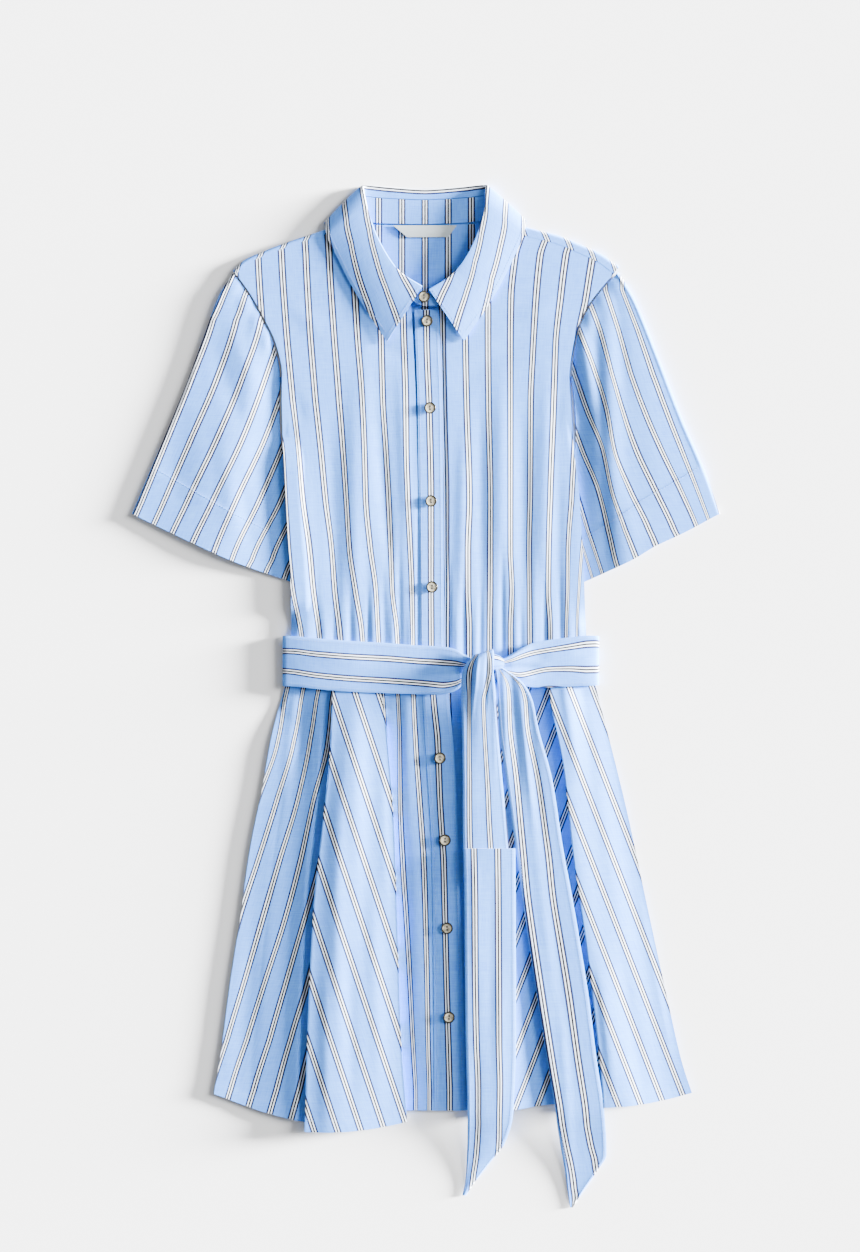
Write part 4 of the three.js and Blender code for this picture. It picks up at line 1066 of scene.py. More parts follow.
GORE_LEFT_STRIPES = Slant(157.1, -186, -0.39, 22.8)
BACK_SKIRT_STRIPES = Slant(-5, -8, 0.0, 23.2)

FLUTE_CREASES = creases((
    (-76, 10, -70, -230, 10, 1.0), (-62, -60, -66, -330, 9, -0.7), (-92, -120, -92, -400, 8, 0.9),
    (-58, -220, -50, -440, 9, 1.1), (-80, -280, -78, -460, 8, -0.9), (-104, -300, -104, -470, 6, 0.7),
    (-48, -90, -44, -260, 6, 0.6),
))
SIDE_RIGHT_CREASES = creases((
    (-124, 10, -134, -120, 5, -1.4), (-112, 10, -118, -150, 5, 1.3), (-132, 0, -150, -180, 6, 1.0),
    (-150, -120, -172, -400, 12, 1.2), (-128, -160, -140, -430, 10, -1.0), (-176, -260, -194, -440, 9, -0.8),
    (-112, -200, -116, -440, 8, -0.8),
))
CENTRE_CREASES = creases((
    (-34, 10, -30, -140, 4, -1.2), (-24, 10, -20, -200, 5, 0.9), (-13, 10, -8, -170, 3.5, -0.9),
    (-16, -140, -12, -400, 7, 0.9), (-26, -180, -22, -420, 6, -1.0), (-5, -240, -1, -440, 6, 0.7),
    (30, 10, 32, -150, 5, -0.6),
))
GORE_LEFT_CREASES = creases((
    (132, 10, 148, -120, 6, 1.2), (146, 10, 166, -130, 6, -1.0), (158, -40, 190, -240, 12, 1.3),
    (150, -110, 182, -330, 10, -0.9), (180, -180, 222, -420, 14, 1.4), (190, -280, 216, -450, 10, -1.1),
    (214, -220, 244, -420, 11, 0.9), (170, -300, 186, -440, 8, 1.1),
))
VALLEY_CREASES = creases((
    (74, 10, 80, -200, 7, 0.9), (92, -40, 104, -300, 9, 1.0), (76, -240, 84, -440, 9, 1.3),
    (98, -260, 112, -440, 8, -1.0), (122, -60, 134, -200, 5, -0.7),
))
BACK_CREASES = creases((
    (-90, 20, -120, -220, 14, 0.7), (-20, 20, -30, -260, 16, 0.8), (60, 20, 84, -240, 14, 0.7),
    (120, 0, 170, -300, 16, 0.8), (-60, -200, -80, -430, 14, 0.7), (20, -220, 30, -430, 16, 0.8),
))


def return_depth(s: Array) -> Array:
    """Depth of a fold's hidden return, from the waist to the hem."""
    return mix(4.5, 20.0, s)


def side_under_z(s: Array) -> Array:
    """Height of the cloth under a fold."""
    return mix(3.7, 2.2, smooth(0, 0.14, s))


def return_z(s: Array) -> Array:
    """Height of a fold's return."""
    return side_under_z(s) + 1.5


def fold_z(s: Array) -> Array:
    """Height of a fold's upper layer."""
    return mix(7.6, 8.6, smooth(0, 0.85, s))


def skirt_front_z(x: Array, y: Array) -> Array:
    """Height of the centre panels."""
    return mix(6.2, 5.0, smooth(-90, WAIST_Y, y) * -1 + 1) + 0.25 * np.sin(y / 70) + 0.5 * CENTRE_CREASES(x, y)


@dataclass
class Skirt:
    """Flared gores whose fullness lies in two folds on each side of the centre."""

    sewing: Sewing
    hem: float = 11.0
    hem_step: float = 0.22
    turn_width: float = 0.4  # how wide a fold's turn is for its height
    side_rise: float = 5.0  # how high the side panel at -X rises towards the flute
    curl: float = 3.2  # how far the back curls up to the side seam at -X
    recess: float = 2.7  # how far the panel beside the band lies below it
    rows: int = 130

    def hem_drop(self, s: Array, length: float) -> Array:
        """The small step down above the turned hem."""
        return self.hem_step * (1 - smooth(0, 1.5, (s - 1) * length + self.hem))

    def back_height(self, from_edge: Array, x: Array, y: Array, s: Array, share: float = 1.0) -> Array:
        """Height of the back, which curls up to a side seam, by a share of the whole curl."""
        curl = share * self.curl * smooth(0.02, 0.2, s) * (1 - smooth(0, 14, from_edge))
        return back_z(x, y) + curl

    def hem_seam(self, length: float, start: float, end: float) -> Seam:
        """The hem's row of stitches on a gore of some length, between two shares of its width."""
        place = 1 - self.hem / length
        return Seam((start, place), (end, place))

    def side_right(self) -> None:
        """The side panel at -X, which runs under the flute."""
        inner = moved(FLUTE_OUTER, return_depth)
        ends = np.float64(0)
        area = patch(straight(OUTLINE_RIGHT(ends), inner(ends)), HEM_RIGHT, OUTLINE_RIGHT, inner)

        def surface(u: Array, s: Array) -> Array:
            p = area(u, s)
            x, y = p[..., 0], p[..., 1]
            from_edge = x - OUTLINE_RIGHT(s)[..., 0]
            slope = self.side_rise * smooth(0, 0.3, s) * np.minimum(u / 0.72, 1)
            level = side_under_z(s) + slope * (1 - smooth(0.72, 0.84, u))
            edge = self.back_height(u * 0, x, y, s) + 0.6
            z = mix(edge, np.maximum(level, edge), smooth(-1, 5, from_edge))
            crease = SIDE_RIGHT_CREASES(x, y) * smooth(2, 14, from_edge) * (1 - smooth(0.8, 0.93, u))
            return stack(x, y, z + 0.5 * crease - self.hem_drop(s, 430))

        self.sewing.piece(
            "skirt_side_right_cloth", ("skirt_side_right",),
            Cut(0.14, 0.45, 0.0375, Held.LAID, ("skirt_back",)),
            surface, marked(area, SIDE_RIGHT_STRIPES), (60, self.rows),
            seams=(self.hem_seam(430, 0.02, 0.95),),
        )

    def gore(
        self,
        name: str,
        node: str,
        cut: Cut,
        outer: Curve,
        inner: Curve,
        top: Area,
        bow: float,
        flute: bool,
        chart: Field,
        relief: Field,
    ) -> None:
        """A gore whose edge turns under, and whose other edge does too if it is a flute.

        Args:
            name: the piece's name.
            node: the solid that it stands for.
            cut: its flat size and how it lies.
            outer: the fold that it turns at, from the waist to the hem.
            inner: its other edge.
            top: its height at (u, s) on the way across.
            bow: how far the middle of its hem hangs below the ends.
            flute: whether both edges turn under.
            chart: its stripes.
            relief: its creases.
        """
        back, turn = 0.08, 0.07  # shares of the columns for a return and for a turn
        start_u = back + turn

        def surface(u: Array, s: Array) -> Array:
            start = back + turn
            finish = 1 - start if flute else 1.0
            across = np.clip((u - start) / (finish - start), 0, 1)
            end = u > 0.5
            edge_share = np.where(end & flute, (1 - u), u)
            folded = edge_share < start
            angle = mix(-math.pi / 2, math.pi / 2, np.clip((edge_share - back) / turn, 0, 1))
            a, b = outer(s), inner(s)
            way = b - a
            way /= np.linalg.norm(way, axis=-1, keepdims=True)
            flat_end = np.where(end, 1.0, 0.0)
            high, low = top(flat_end, s), return_z(s)
            radius = (high - low) / 2
            turned = self.turn_width * radius
            hidden = np.clip(1 - edge_share / back, 0, 1)
            reach = turned * (1 - np.sin(angle)) / 2 + hidden * (return_depth(s) - turned)
            curl = np.where(end, -1.0, 1.0) * reach
            edge_point = np.where(end[..., None], b, a) + way * curl[..., None]
            top_point = mix(a, b, across[..., None])
            place = np.where(folded[..., None], edge_point, top_point)
            hang = 4 * bow * across * (1 - across) * smooth(0.6, 1, s)
            x, y = place[..., 0], place[..., 1] - np.where(folded, 0, hang)
            level = top(across, s) + 0.6 * relief(x, y) * smooth(0, 0.12, across) * (
                1 - smooth(0.88, 1, across)
            )
            z = np.where(folded, low + radius + radius * np.sin(angle), level)
            return stack(x, y, z - np.where(folded, 0, self.hem_drop(s, 440)))

        def cloth(u: Array, s: Array) -> Array:
            p = surface(u, s)
            return chart(p[..., 0], p[..., 1])

        self.sewing.piece(
            name, (node,), cut, surface, cloth, (120, self.rows),
            seams=(self.hem_seam(440, start_u, 1 - start_u if flute else 0.97),),
            crisp=(start_u, 1 - start_u) if flute else (start_u,),
        )

    def flute_top(self, u: Array, s: Array) -> Array:
        """Height of the flute, which stands highest near its edge at -X."""
        lift = 2.4 + 1.5 * smooth(0, 0.3, u) - 2.6 * smooth(0.3, 1, u)
        return fold_z(s) + lift * smooth(0, 0.3, s)

    def gore_right(self) -> None:
        """The flute at -X of the centre."""
        self.gore(
            "skirt_gore_right_cloth", "skirt_gore_right",
            Cut(0.155, 0.46, 0.049, Held.FOLDED, ("skirt_side_right", "skirt_centre_right")),
            FLUTE_OUTER, FLUTE_INNER,
            self.flute_top, 4, True,
            FLUTE_STRIPES, FLUTE_CREASES,
        )

    def gore_left(self) -> None:
        """The gore at +X of the centre, which runs down under the side gore."""
        tucked = moved(VALLEY_OUTER, lambda s: 0.8 * return_depth(s))
        self.gore(
            "skirt_gore_left_cloth", "skirt_gore_left",
            Cut(0.165, 0.45, 0.05, Held.FOLDED, ("skirt_centre_left", "skirt_back")),
            VALLEY_INNER, tucked,
            lambda u, s: mix(fold_z(s), side_under_z(s), smooth(0.08, 0.68, u)), -6, False,
            RECESS_STRIPES, lambda x, y: 0.8 * VALLEY_CREASES(x, y),
        )

    def side_left(self) -> None:
        """The side gore at +X."""

        def top(u: Array, s: Array) -> Array:
            p = OUTLINE_LEFT(s)
            edge = back_z(p[..., 0], p[..., 1]) + 1.5 + 2.2 * smooth(0.02, 0.2, s)
            swell = 0.8 * s * np.sin(6 * u) * np.sin(math.pi * u)
            lift = 2.0 * smooth(0, 0.3, s) * (1 - smooth(0.05, 0.5, u))
            return mix(fold_z(s), edge, smooth(0.25, 1, u)) + swell + lift

        self.gore(
            "skirt_side_left_cloth", "skirt_side_left",
            Cut(0.125, 0.45, 0.0365, Held.FOLDED, ("skirt_gore_left", "skirt_back")),
            VALLEY_OUTER, OUTLINE_LEFT, top, 3, False,
            GORE_LEFT_STRIPES, GORE_LEFT_CREASES,
        )

    def centre_right(self) -> None:
        """The centre panel beside the band, which runs under the flute."""
        outer = moved(FLUTE_INNER, lambda s: 0.7 - return_depth(s))
        inner = band_line(-1, SKIRT_TOP, SKIRT_HEM, -1.2)
        ends = np.array([0.0, 1.0])
        area = patch(
            straight(outer(ends)[0], inner(ends)[0]),
            straight((outer(ends)[1][0], SKIRT_HEM), inner(ends)[1]),
            outer, inner,
        )

        def surface(u: Array, s: Array) -> Array:
            p = area(u, s)
            x, y = p[..., 0], p[..., 1]
            rise = smooth(-16, 30, x - FLUTE_INNER(s)[..., 0])
            hidden = 0.5 * smooth(-1.5, 0.6, x - band_x(y) + band_half(y))
            z = mix(side_under_z(s), skirt_front_z(x, y), rise) - hidden
            return stack(x, y, z - self.hem_drop(s, 438))

        self.sewing.piece(
            "skirt_centre_right_cloth", ("skirt_centre_right",),
            Cut(0.062, 0.45, 0.0222, Held.GATHERED, ("skirt_back",)),
            surface, marked(area, CENTRE_STRIPES), (40, self.rows),
            seams=(self.hem_seam(438, 0.3, 0.9),),
        )

    def centre_left(self) -> None:
        """The centre panel that laps under the band."""
        outer = lapped_edge(SKIRT_TOP, SKIRT_HEM)
        inner = moved(VALLEY_INNER, lambda s: return_depth(s) - 0.7)
        ends = np.array([0.0, 1.0])
        area = patch(
            straight(outer(ends)[0], inner(ends)[0]),
            straight(outer(ends)[1], (inner(ends)[1][0], SKIRT_HEM)),
            outer, inner,
        )

        def surface(u: Array, s: Array) -> Array:
            p = area(u, s)
            x, y = p[..., 0], p[..., 1]
            under = skirt_front_z(x, y) - self.recess
            z = mix(under, side_under_z(s), smooth(-30, 0, x - VALLEY_INNER(s)[..., 0]))
            return stack(x, y, z - self.hem_drop(s, 438))

        self.sewing.piece(
            "skirt_centre_left_cloth", ("skirt_centre_left",),
            Cut(0.085, 0.45, 0.029, Held.GATHERED, ("skirt_back",)),
            surface, marked(area, CENTRE_LEFT_STRIPES), (40, self.rows),
            seams=(self.hem_seam(438, 0.3, 0.9),),
        )

    def band(self) -> None:
        """The skirt's stretch of the buttoned band."""
        left = band_line(-1, SKIRT_HEM, SKIRT_TOP, 0)
        right = band_line(1, SKIRT_HEM, SKIRT_TOP, 0)

        def area(u: Array, v: Array) -> Array:
            return mix(left(v), right(v), u[..., None])

        def height(x: Array, y: Array) -> Array:
            return skirt_front_z(x, y) - band_roll(x, y)

        self.sewing.piece(
            "band_skirt_cloth", ("placket_skirt",),
            Cut(0.031, 0.45, 0.0125, Held.FOLDED, ("skirt_centre_left",)),
            on_table(area, height), marked(area, BAND_STRIPES), (18, self.rows), DOUBLED,
            seams=(Seam((0.1, 0.0), (0.1, 1.0)), Seam((0.9, 0.0), (0.9, 1.0))),
        )

    def back(self) -> None:
        """The back of the skirt, which lies on the table."""
        outer, inner = moved(OUTLINE_RIGHT, BACK_INSET), moved(OUTLINE_LEFT, -BACK_INSET)
        start = np.float64(0)
        area = patch(straight(outer(start), inner(start)), HEM_BACK, outer, inner)

        def surface(u: Array, s: Array) -> Array:
            p = area(u, s)
            x, y = p[..., 0], p[..., 1]
            right = self.back_height(x - outer(s)[..., 0], x, y, s)
            left = self.back_height(inner(s)[..., 0] - x, x, y, s, 0.6)
            return stack(x, y, np.maximum(right, left))

        self.sewing.piece(
            "skirt_back_cloth", ("skirt_back",),
            Cut(0.5, 0.45, 0.17, Held.LAID, ("table",)),
            surface, marked(area, BACK_SKIRT_STRIPES), (100, 80),
        )

    def build(self) -> None:
        """Makes every piece of the skirt."""
        self.back()
        self.side_right()
        self.gore_right()
        self.centre_right()
        self.centre_left()
        self.band()
        self.gore_left()
        self.side_left()


# Belt

# x, upper edge, lower edge, height, and how far down its width each of its two stripes runs
BELT_RIGHT = (
    (-146, 28, -21, 2.6, 0.30, 0.70), (-147, 28, -21.5, 4.6, 0.30, 0.70), (-146.6, 28, -22, 6.2, 0.30, 0.70),
    (-144.5, 28, -22, 7.2, 0.30, 0.70), (-136, 27.7, -22.3, 7.9, 0.30, 0.71), (-112, 25.5, -25, 9, 0.31, 0.73),
    (-80, 23, -27.5, 9.4, 0.31, 0.74), (-45, 21, -29, 9.2, 0.31, 0.75), (-12, 18.5, -30, 9.4, 0.32, 0.77),
    (10, 17.5, -30.5, 10, 0.33, 0.80), (24, 15, -27, 11, 0.34, 0.82), (33, 10, -20, 11.8, 0.35, 0.84),
    (40, 6, -14, 11.4, 0.36, 0.84),
)
BELT_LEFT = (
    (167.8, 27, -20.5, 2.6, 0.16, 0.66), (168.6, 27, -20.5, 4.6, 0.16, 0.66), (168.2, 27.5, -21, 6.6, 0.16, 0.67),
    (166, 28, -21.2, 8, 0.16, 0.68), (157, 28.3, -21.6, 8.9, 0.17, 0.68), (140, 26.5, -22.4, 9.3, 0.19, 0.64),
    (120, 24, -23, 9.6, 0.21, 0.62), (104, 21, -23, 10.2, 0.22, 0.66), (92, 16, -21, 11.2, 0.22, 0.72),
    (80, 9, -14, 12, 0.24, 0.78), (68, 3, -7.5, 12, 0.25, 0.8),
)
# y, left edge, right edge, height, droop of the left edge, and the stripes' shares of the width
WRAP = (
    (-7, 46, 61, 13, 0, 0.2, 0.62), (2, 45, 62, 13, 0, 0.2, 0.62), (9, 44, 62, 13.2, 0, 0.2, 0.62),
    (13, 43, 62, 15, 0, 0.2, 0.66), (14.4, 42.5, 62.6, 17.6, 0, 0.2, 0.72), (13, 42, 63, 20.2, 0.8, 0.2, 0.76),
    (6, 36, 63.5, 21.4, 2.5, 0.22, 0.84), (-6, 32, 63, 21, 4.8, 0.24, 0.88), (-22, 31, 64.5, 18.4, 3.8, 0.24, 0.76),
    (-40, 31.5, 66, 14.6, 1.6, 0.22, 0.63), (-80, 32.5, 69, 11.6, 0.5, 0.18, 0.62),
    (-120, 33, 72.5, 10.8, 0, 0.16, 0.62), (-160, 33, 76.5, 10.8, 0, 0.15, 0.6),
    (-200, 33.5, 80, 10.9, 0, 0.15, 0.6), (-214, 33.5, 81, 10.9, 0, 0.15, 0.6),
)
TAIL_RIGHT_END = (
    (-184, 33.5, 85, 12.8, 0, 0.2, 0.66), (-230, 34.5, 85.3, 12.4, 0, 0.2, 0.66),
    (-300, 35, 85.6, 11.4, 0, 0.2, 0.66), (-376, 35.8, 85.8, 11.2, 0, 0.21, 0.66),
    (-420, 37, 84.5, 11.2, 0, 0.23, 0.69), (-447, 37.5, 83, 10.8, 0, 0.23, 0.7),
    (-458, 37.6, 81.5, 9.6, 0, 0.24, 0.72), (-470, 37.6, 78, 7.4, 0, 0.25, 0.78),
    (-482, 37.4, 73, 5.6, 0, 0.27, 0.88), (-497, 37, 61, 3.6, 0, 0.36, 1.24),
    (-510, 36.4, 51, 2.3, 0, 0.5, 1.9), (-522, 35, 42, 1.5, 0, 1.0, 3.9), (-532, 32.8, 35.6, 1.2, 0, 2.4, 9.0),
)
TAIL_LEFT = (
    (-4, 65.5, 72, 14.2, 0, 0.42, 0.86), (-12, 66, 84, 14.3, 0, 0.42, 0.86), (-22, 67, 95, 14.2, 0, 0.38, 0.84),
    (-36, 67.5, 102, 13.6, 0, 0.33, 0.8), (-66, 69.5, 108.5, 11.6, 0, 0.27, 0.72), (-116, 76.5, 122, 10.6, 0, 0.22, 0.69),
    (-180, 85, 132, 10.6, 0, 0.16, 0.68), (-245, 94, 144, 10.6, 0, 0.1, 0.61),
    (-334, 107.5, 158.5, 10.4, 0, 0.09, 0.62), (-393, 117, 166, 10.4, 0, 0.09, 0.62),
    (-443, 125, 173.5, 10.2, 0, 0.1, 0.62), (-460, 127, 175, 8.6, 0, 0.11, 0.62), (-473, 129, 176, 6.6, 0, 0.12, 0.64),
    (-490, 132, 176.4, 4.4, 0, 0.14, 0.7), (-506, 135, 168, 2.8, 0, 0.2, 0.94), (-524, 137.6, 155.5, 1.7, 0, 0.36, 1.75),
    (-544, 140.6, 142.4, 1.2, 0, 1.0, 5.0),
)


@dataclass
class Belt:
    """The tie belt: its back stretch, its two front stretches, the knot and its two ends."""

    sewing: Sewing
    edge_roll: float = 0.35

    def stripe_cloth(self, share: Array, first: Array, second: Array, along: Array) -> Array:
        """Across and along the belt, from where its two stripes run at that place."""
        return stack((share - first) / (second - first) * PITCH, along)

    def front(self, name: str, node: str, rows: Sequence[Sequence[float]], steps: int, cut: Cut, folds: Field) -> None:
        """A front stretch, from round the side to under the knot.

        Args:
            name: the piece's name.
            node: the solid that it stands for.
            rows: its table.
            steps: how many steps along it.
            cut: its flat size and how it lies.
            folds: its creases.
        """
        table = np.array(rows, float)
        x, high, low, z, first, second = [Track(table[:, k]) for k in range(6)]

        def surface(u: Array, v: Array) -> Array:
            y = mix(low(u), high(u), v)
            swell = 0.8 * np.sin(math.pi * v) * smooth(0.25, 0.5, u)
            rolled = self.edge_roll * (smooth(0.03, 0, v) + smooth(0.97, 1, v))
            return stack(x(u), y, z(u) + swell - rolled + folds(x(u), y) * smooth(0.3, 0.5, u))

        def cloth(u: Array, v: Array) -> Array:
            return self.stripe_cloth(1 - v, first(u), second(u), x(u))

        self.sewing.piece(
            name, (node,), cut, surface, cloth, (steps, 40), DOUBLED,
            seams=(Seam((0.3, 0.06), (1.0, 0.06)), Seam((0.3, 0.94), (1.0, 0.94))),
        )

    def end(
        self,
        name: str,
        node: str,
        rows: Sequence[Sequence[float]],
        steps: int,
        cut: Cut,
        folds: Field,
        swell: float = 0.4,
        slant: float = 0.0,
    ) -> None:
        """A stretch that lies down from the knot.

        Args:
            name: the piece's name.
            node: the solid that it stands for.
            rows: its table.
            steps: how many steps along it.
            cut: its flat size and how it lies.
            folds: its creases.
            swell: how much higher its middle lies than its edges.
            slant: how much further down its left edge lies than its right where it turns over the knot.
        """
        table = np.array(rows, float)
        y, left, right, z, ridge, first, second = [Track(table[:, k]) for k in range(7)]

        def surface(u: Array, v: Array) -> Array:
            x = mix(left(v), right(v), u)
            height = y(v) - slant * (1 - u) * (1 - smooth(0.4, 0.65, v))
            droop = ridge(v) * (1 - smooth(0, 0.5, u))
            rolled = self.edge_roll * (smooth(0.03, 0, u) + smooth(0.97, 1, u))
            bowed = swell * np.sin(math.pi * u)
            relief = 0.6 * folds(x, height) * smooth(0.0, 0.04, v)
            return stack(x, height, z(v) - droop + bowed - rolled + relief)

        def cloth(u: Array, v: Array) -> Array:
            return self.stripe_cloth(u, first(v), second(v), y(v))

        self.sewing.piece(
            name, (node,), cut, surface, cloth, (40, steps), DOUBLED,
            seams=(Seam((0.06, 0.0), (0.06, 0.97)), Seam((0.94, 0.0), (0.94, 0.97))),
        )

    def back(self) -> None:
        """The stretch under the back of the waist."""

        def surface(u: Array, v: Array) -> Array:
            return stack(mix(-141, 163, u), mix(-22, 28, v), np.full_like(u, 0.65))

        def cloth(u: Array, v: Array) -> Array:
            return self.stripe_cloth(1 - v, np.full_like(u, 0.3), np.full_like(u, 0.72), mix(-141, 163, u))

        self.sewing.piece(
            "belt_back_cloth", ("belt_back",), Cut(0.304, 0.05, 0.0152, Held.LAID, ("table",)),
            surface, cloth, (60, 12), DOUBLED,
        )

    def knot(self) -> None:
        """The short bar of gathered belt that the wrap passes over."""
        rows = np.array((
            (40, -3, 3, 1.0, 15.6), (46, 0, 6.4, 1.7, 16.4), (53, 2, 7.8, 2.1, 16.6),
            (61, 2.4, 7.6, 2.1, 16.6), (68, 2, 6.4, 1.9, 16.2), (74, 1, 3.6, 1.2, 15.7),
        ))
        x, y, wide, thick, z = [Track(rows[:, k]) for k in range(5)]

        def surface(u: Array, v: Array) -> Array:
            angle = 2 * math.pi * u
            pleat = 1 + 0.07 * np.sin(7 * angle)
            return stack(x(v), y(v) + wide(v) * np.cos(angle) * pleat, z(v) + thick(v) * np.sin(angle) * pleat)

        def cloth(u: Array, v: Array) -> Array:
            return stack(u * 46 - 6, x(v))

        obj = grid_mesh("belt_knot_cloth", surface, cloth, 84, 30, ring=True)
        bm = bmesh.new()
        bm.from_mesh(obj.data)
        rims = [edge for edge in bm.edges if edge.is_boundary]
        bmesh.ops.holes_fill(bm, edges=rims, sides=0)
        bmesh.ops.recalc_face_normals(bm, faces=bm.faces)
        bm.to_mesh(obj.data)
        bm.free()
        obj.data.materials.append(self.sewing.material)
        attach(obj, "root")
        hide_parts("belt_knot")
        self.sewing.made[obj.name] = obj

    def build(self) -> None:
        """Makes every piece of the belt."""
        self.back()
        self.front(
            "belt_front_right_cloth", "belt_front_right", BELT_RIGHT, 150,
            Cut(0.195, 0.05, 0.0093, Held.LAID, ("bodice_front_right", "skirt_gore_right")),
            creases((
                (60, -2, 8, 10, 4, 0.9), (60, -8, -6, 2, 4, -0.9), (60, -10, 4, -16, 4, 0.8),
                (50, -14, 0, -26, 3, -0.7), (-60, 4, -120, 8, 7, 0.5), (-20, -20, -90, -16, 6, -0.4),
            )),
        )
        self.front(
            "belt_front_left_cloth", "belt_front_left", BELT_LEFT, 130,
            Cut(0.1, 0.05, 0.0045, Held.LAID, ("bodice_front_left", "skirt_side_left")),
            creases((
                (60, 0, 100, 16, 2.6, 1.1), (60, -4, 112, -2, 3, -1.2), (62, -6, 104, -14, 3, 1.0),
                (110, 8, 156, 14, 6, 0.6), (60, 4, 96, 18, 2, -0.8),
            )),
        )
        self.knot()
        self.end(
            "belt_tail_right_upper_cloth", "belt_tail_right_upper", WRAP, 160,
            Cut(0.05, 0.265, 0.0098, Held.FOLDED, ("belt_knot", "skirt_centre_left")),
            creases((
                (45, 16, 36, -46, 1.5, -1.5), (48.5, 14, 41, -60, 1.8, 0.8), (57, 12, 55, -50, 1.6, -0.8),
                (34, -10, 35, -90, 1.6, 0.4), (63, 0, 65, -120, 2.5, 0.4), (50, -60, 54, -190, 5, -0.2),
            )),
            slant=6.0,
        )
        self.end(
            "belt_tail_right_lower_cloth", "belt_tail_right_lower", TAIL_RIGHT_END, 170,
            Cut(0.05, 0.36, 0.0155, Held.LAID, ("belt_tail_right_upper", "skirt_gore_left")),
            creases((
                (44, -170, 46, -330, 5, 0.5), (62, -200, 60, -400, 6, -0.5), (70, -300, 70, -470, 6, 0.6),
                (46, -380, 44, -500, 5, -0.5),
            )),
        )
        self.end(
            "belt_tail_left_cloth", "belt_tail_left", TAIL_LEFT, 200,
            Cut(0.05, 0.57, 0.0235, Held.LAID, ("belt_knot", "skirt_gore_left")),
            creases((
                (72, 10, 78, -120, 3, 0.9), (80, 0, 92, -150, 3, -1.1), (88, -10, 104, -170, 3, 0.9),
                (96, -20, 116, -200, 4, -0.7), (100, -140, 124, -330, 6, 0.5), (118, -220, 146, -440, 6, -0.4),
                (130, -330, 142, -520, 5, 0.5),
            )),
            swell=-0.2,
        )


# Collar: roll, edge and seam of each station, the height at which fall and stand meet, and the turn
COLLAR = (
    (-8, 377, 9.8, -43, 322, 7.2, -8, 358, 7.5, 8.2, 90),
    (-30, 391.5, 9.8, -64, 354, 7.2, -33.5, 372.5, 7, 8.2, 90),
    (-46, 413.5, 9.6, -80, 381, 7.2, -54, 396.5, 6.8, 8, 90),
    (-57, 437, 9.2, -93, 407, 7.4, -68.5, 417, 6.6, 7.6, 90),
    (-63.5, 459, 8.4, -103, 428, 7.6, -74.5, 436, 6.2, 7, 80),
    (-67.5, 477.5, 5, -105.5, 441, 4.2, -73.5, 446, 4.6, 5, 0),
    (-63, 478.6, 2.2, -98, 438.2, 0.7, -68, 444.5, 3.2, 3, -80),
    (-42, 477.2, 1.55, -58, 425, 0.65, -48, 441, 2.4, 2.4, -90),
    (-5, 475.4, 1.55, -6, 422, 0.65, -5, 440.4, 2.4, 2.4, -90),
    (32, 477.4, 1.55, 46, 424, 0.65, 38, 442, 2.4, 2.4, -90),
    (52, 479, 2.2, 88, 440, 0.7, 59, 445.5, 3.2, 3, -80),
    (56.5, 477.5, 6.5, 96, 443, 4.2, 63.5, 446.6, 4.6, 5, 0),
    (55.5, 459, 9.8, 94, 430, 7.6, 63, 438, 6.2, 7, 80),
    (48.5, 433, 10.4, 83, 405, 7.4, 57, 417, 6.6, 7.6, 90),
    (37.5, 409, 10.3, 70, 378, 7.2, 43.5, 391.5, 6.8, 7.8, 90),
    (22, 389, 9.8, 54, 352, 7.2, 27.5, 368.6, 6.3, 7.1, 90),
    (-1, 374, 9.8, 34, 323, 7.2, 4, 357.4, 5.6, 5.8, 90),
)
# Station, and how far each of three stripes runs from the roll to the edge
COLLAR_STRIPES = (
    (16, 0.29, 0.77, 1.29), (15, 0.01, 0.48, 1.04), (14, -0.2, 0.25, 0.78), (13, -0.36, 0.11, 0.65),
    (12, -0.46, 0.02, 0.52), (11, -0.44, 0.02, 0.48), (10, -0.48, -0.03, 0.42), (8, -0.5, -0.06, 0.4),
    (6, -0.48, -0.03, 0.42), (5, -0.45, 0.01, 0.47), (4, -0.44, 0.05, 0.53), (3, -0.36, 0.12, 0.63),
    (2, -0.22, 0.26, 0.79), (1, 0.01, 0.44, 0.94), (0, 0.23, 0.69, 1.16),
)


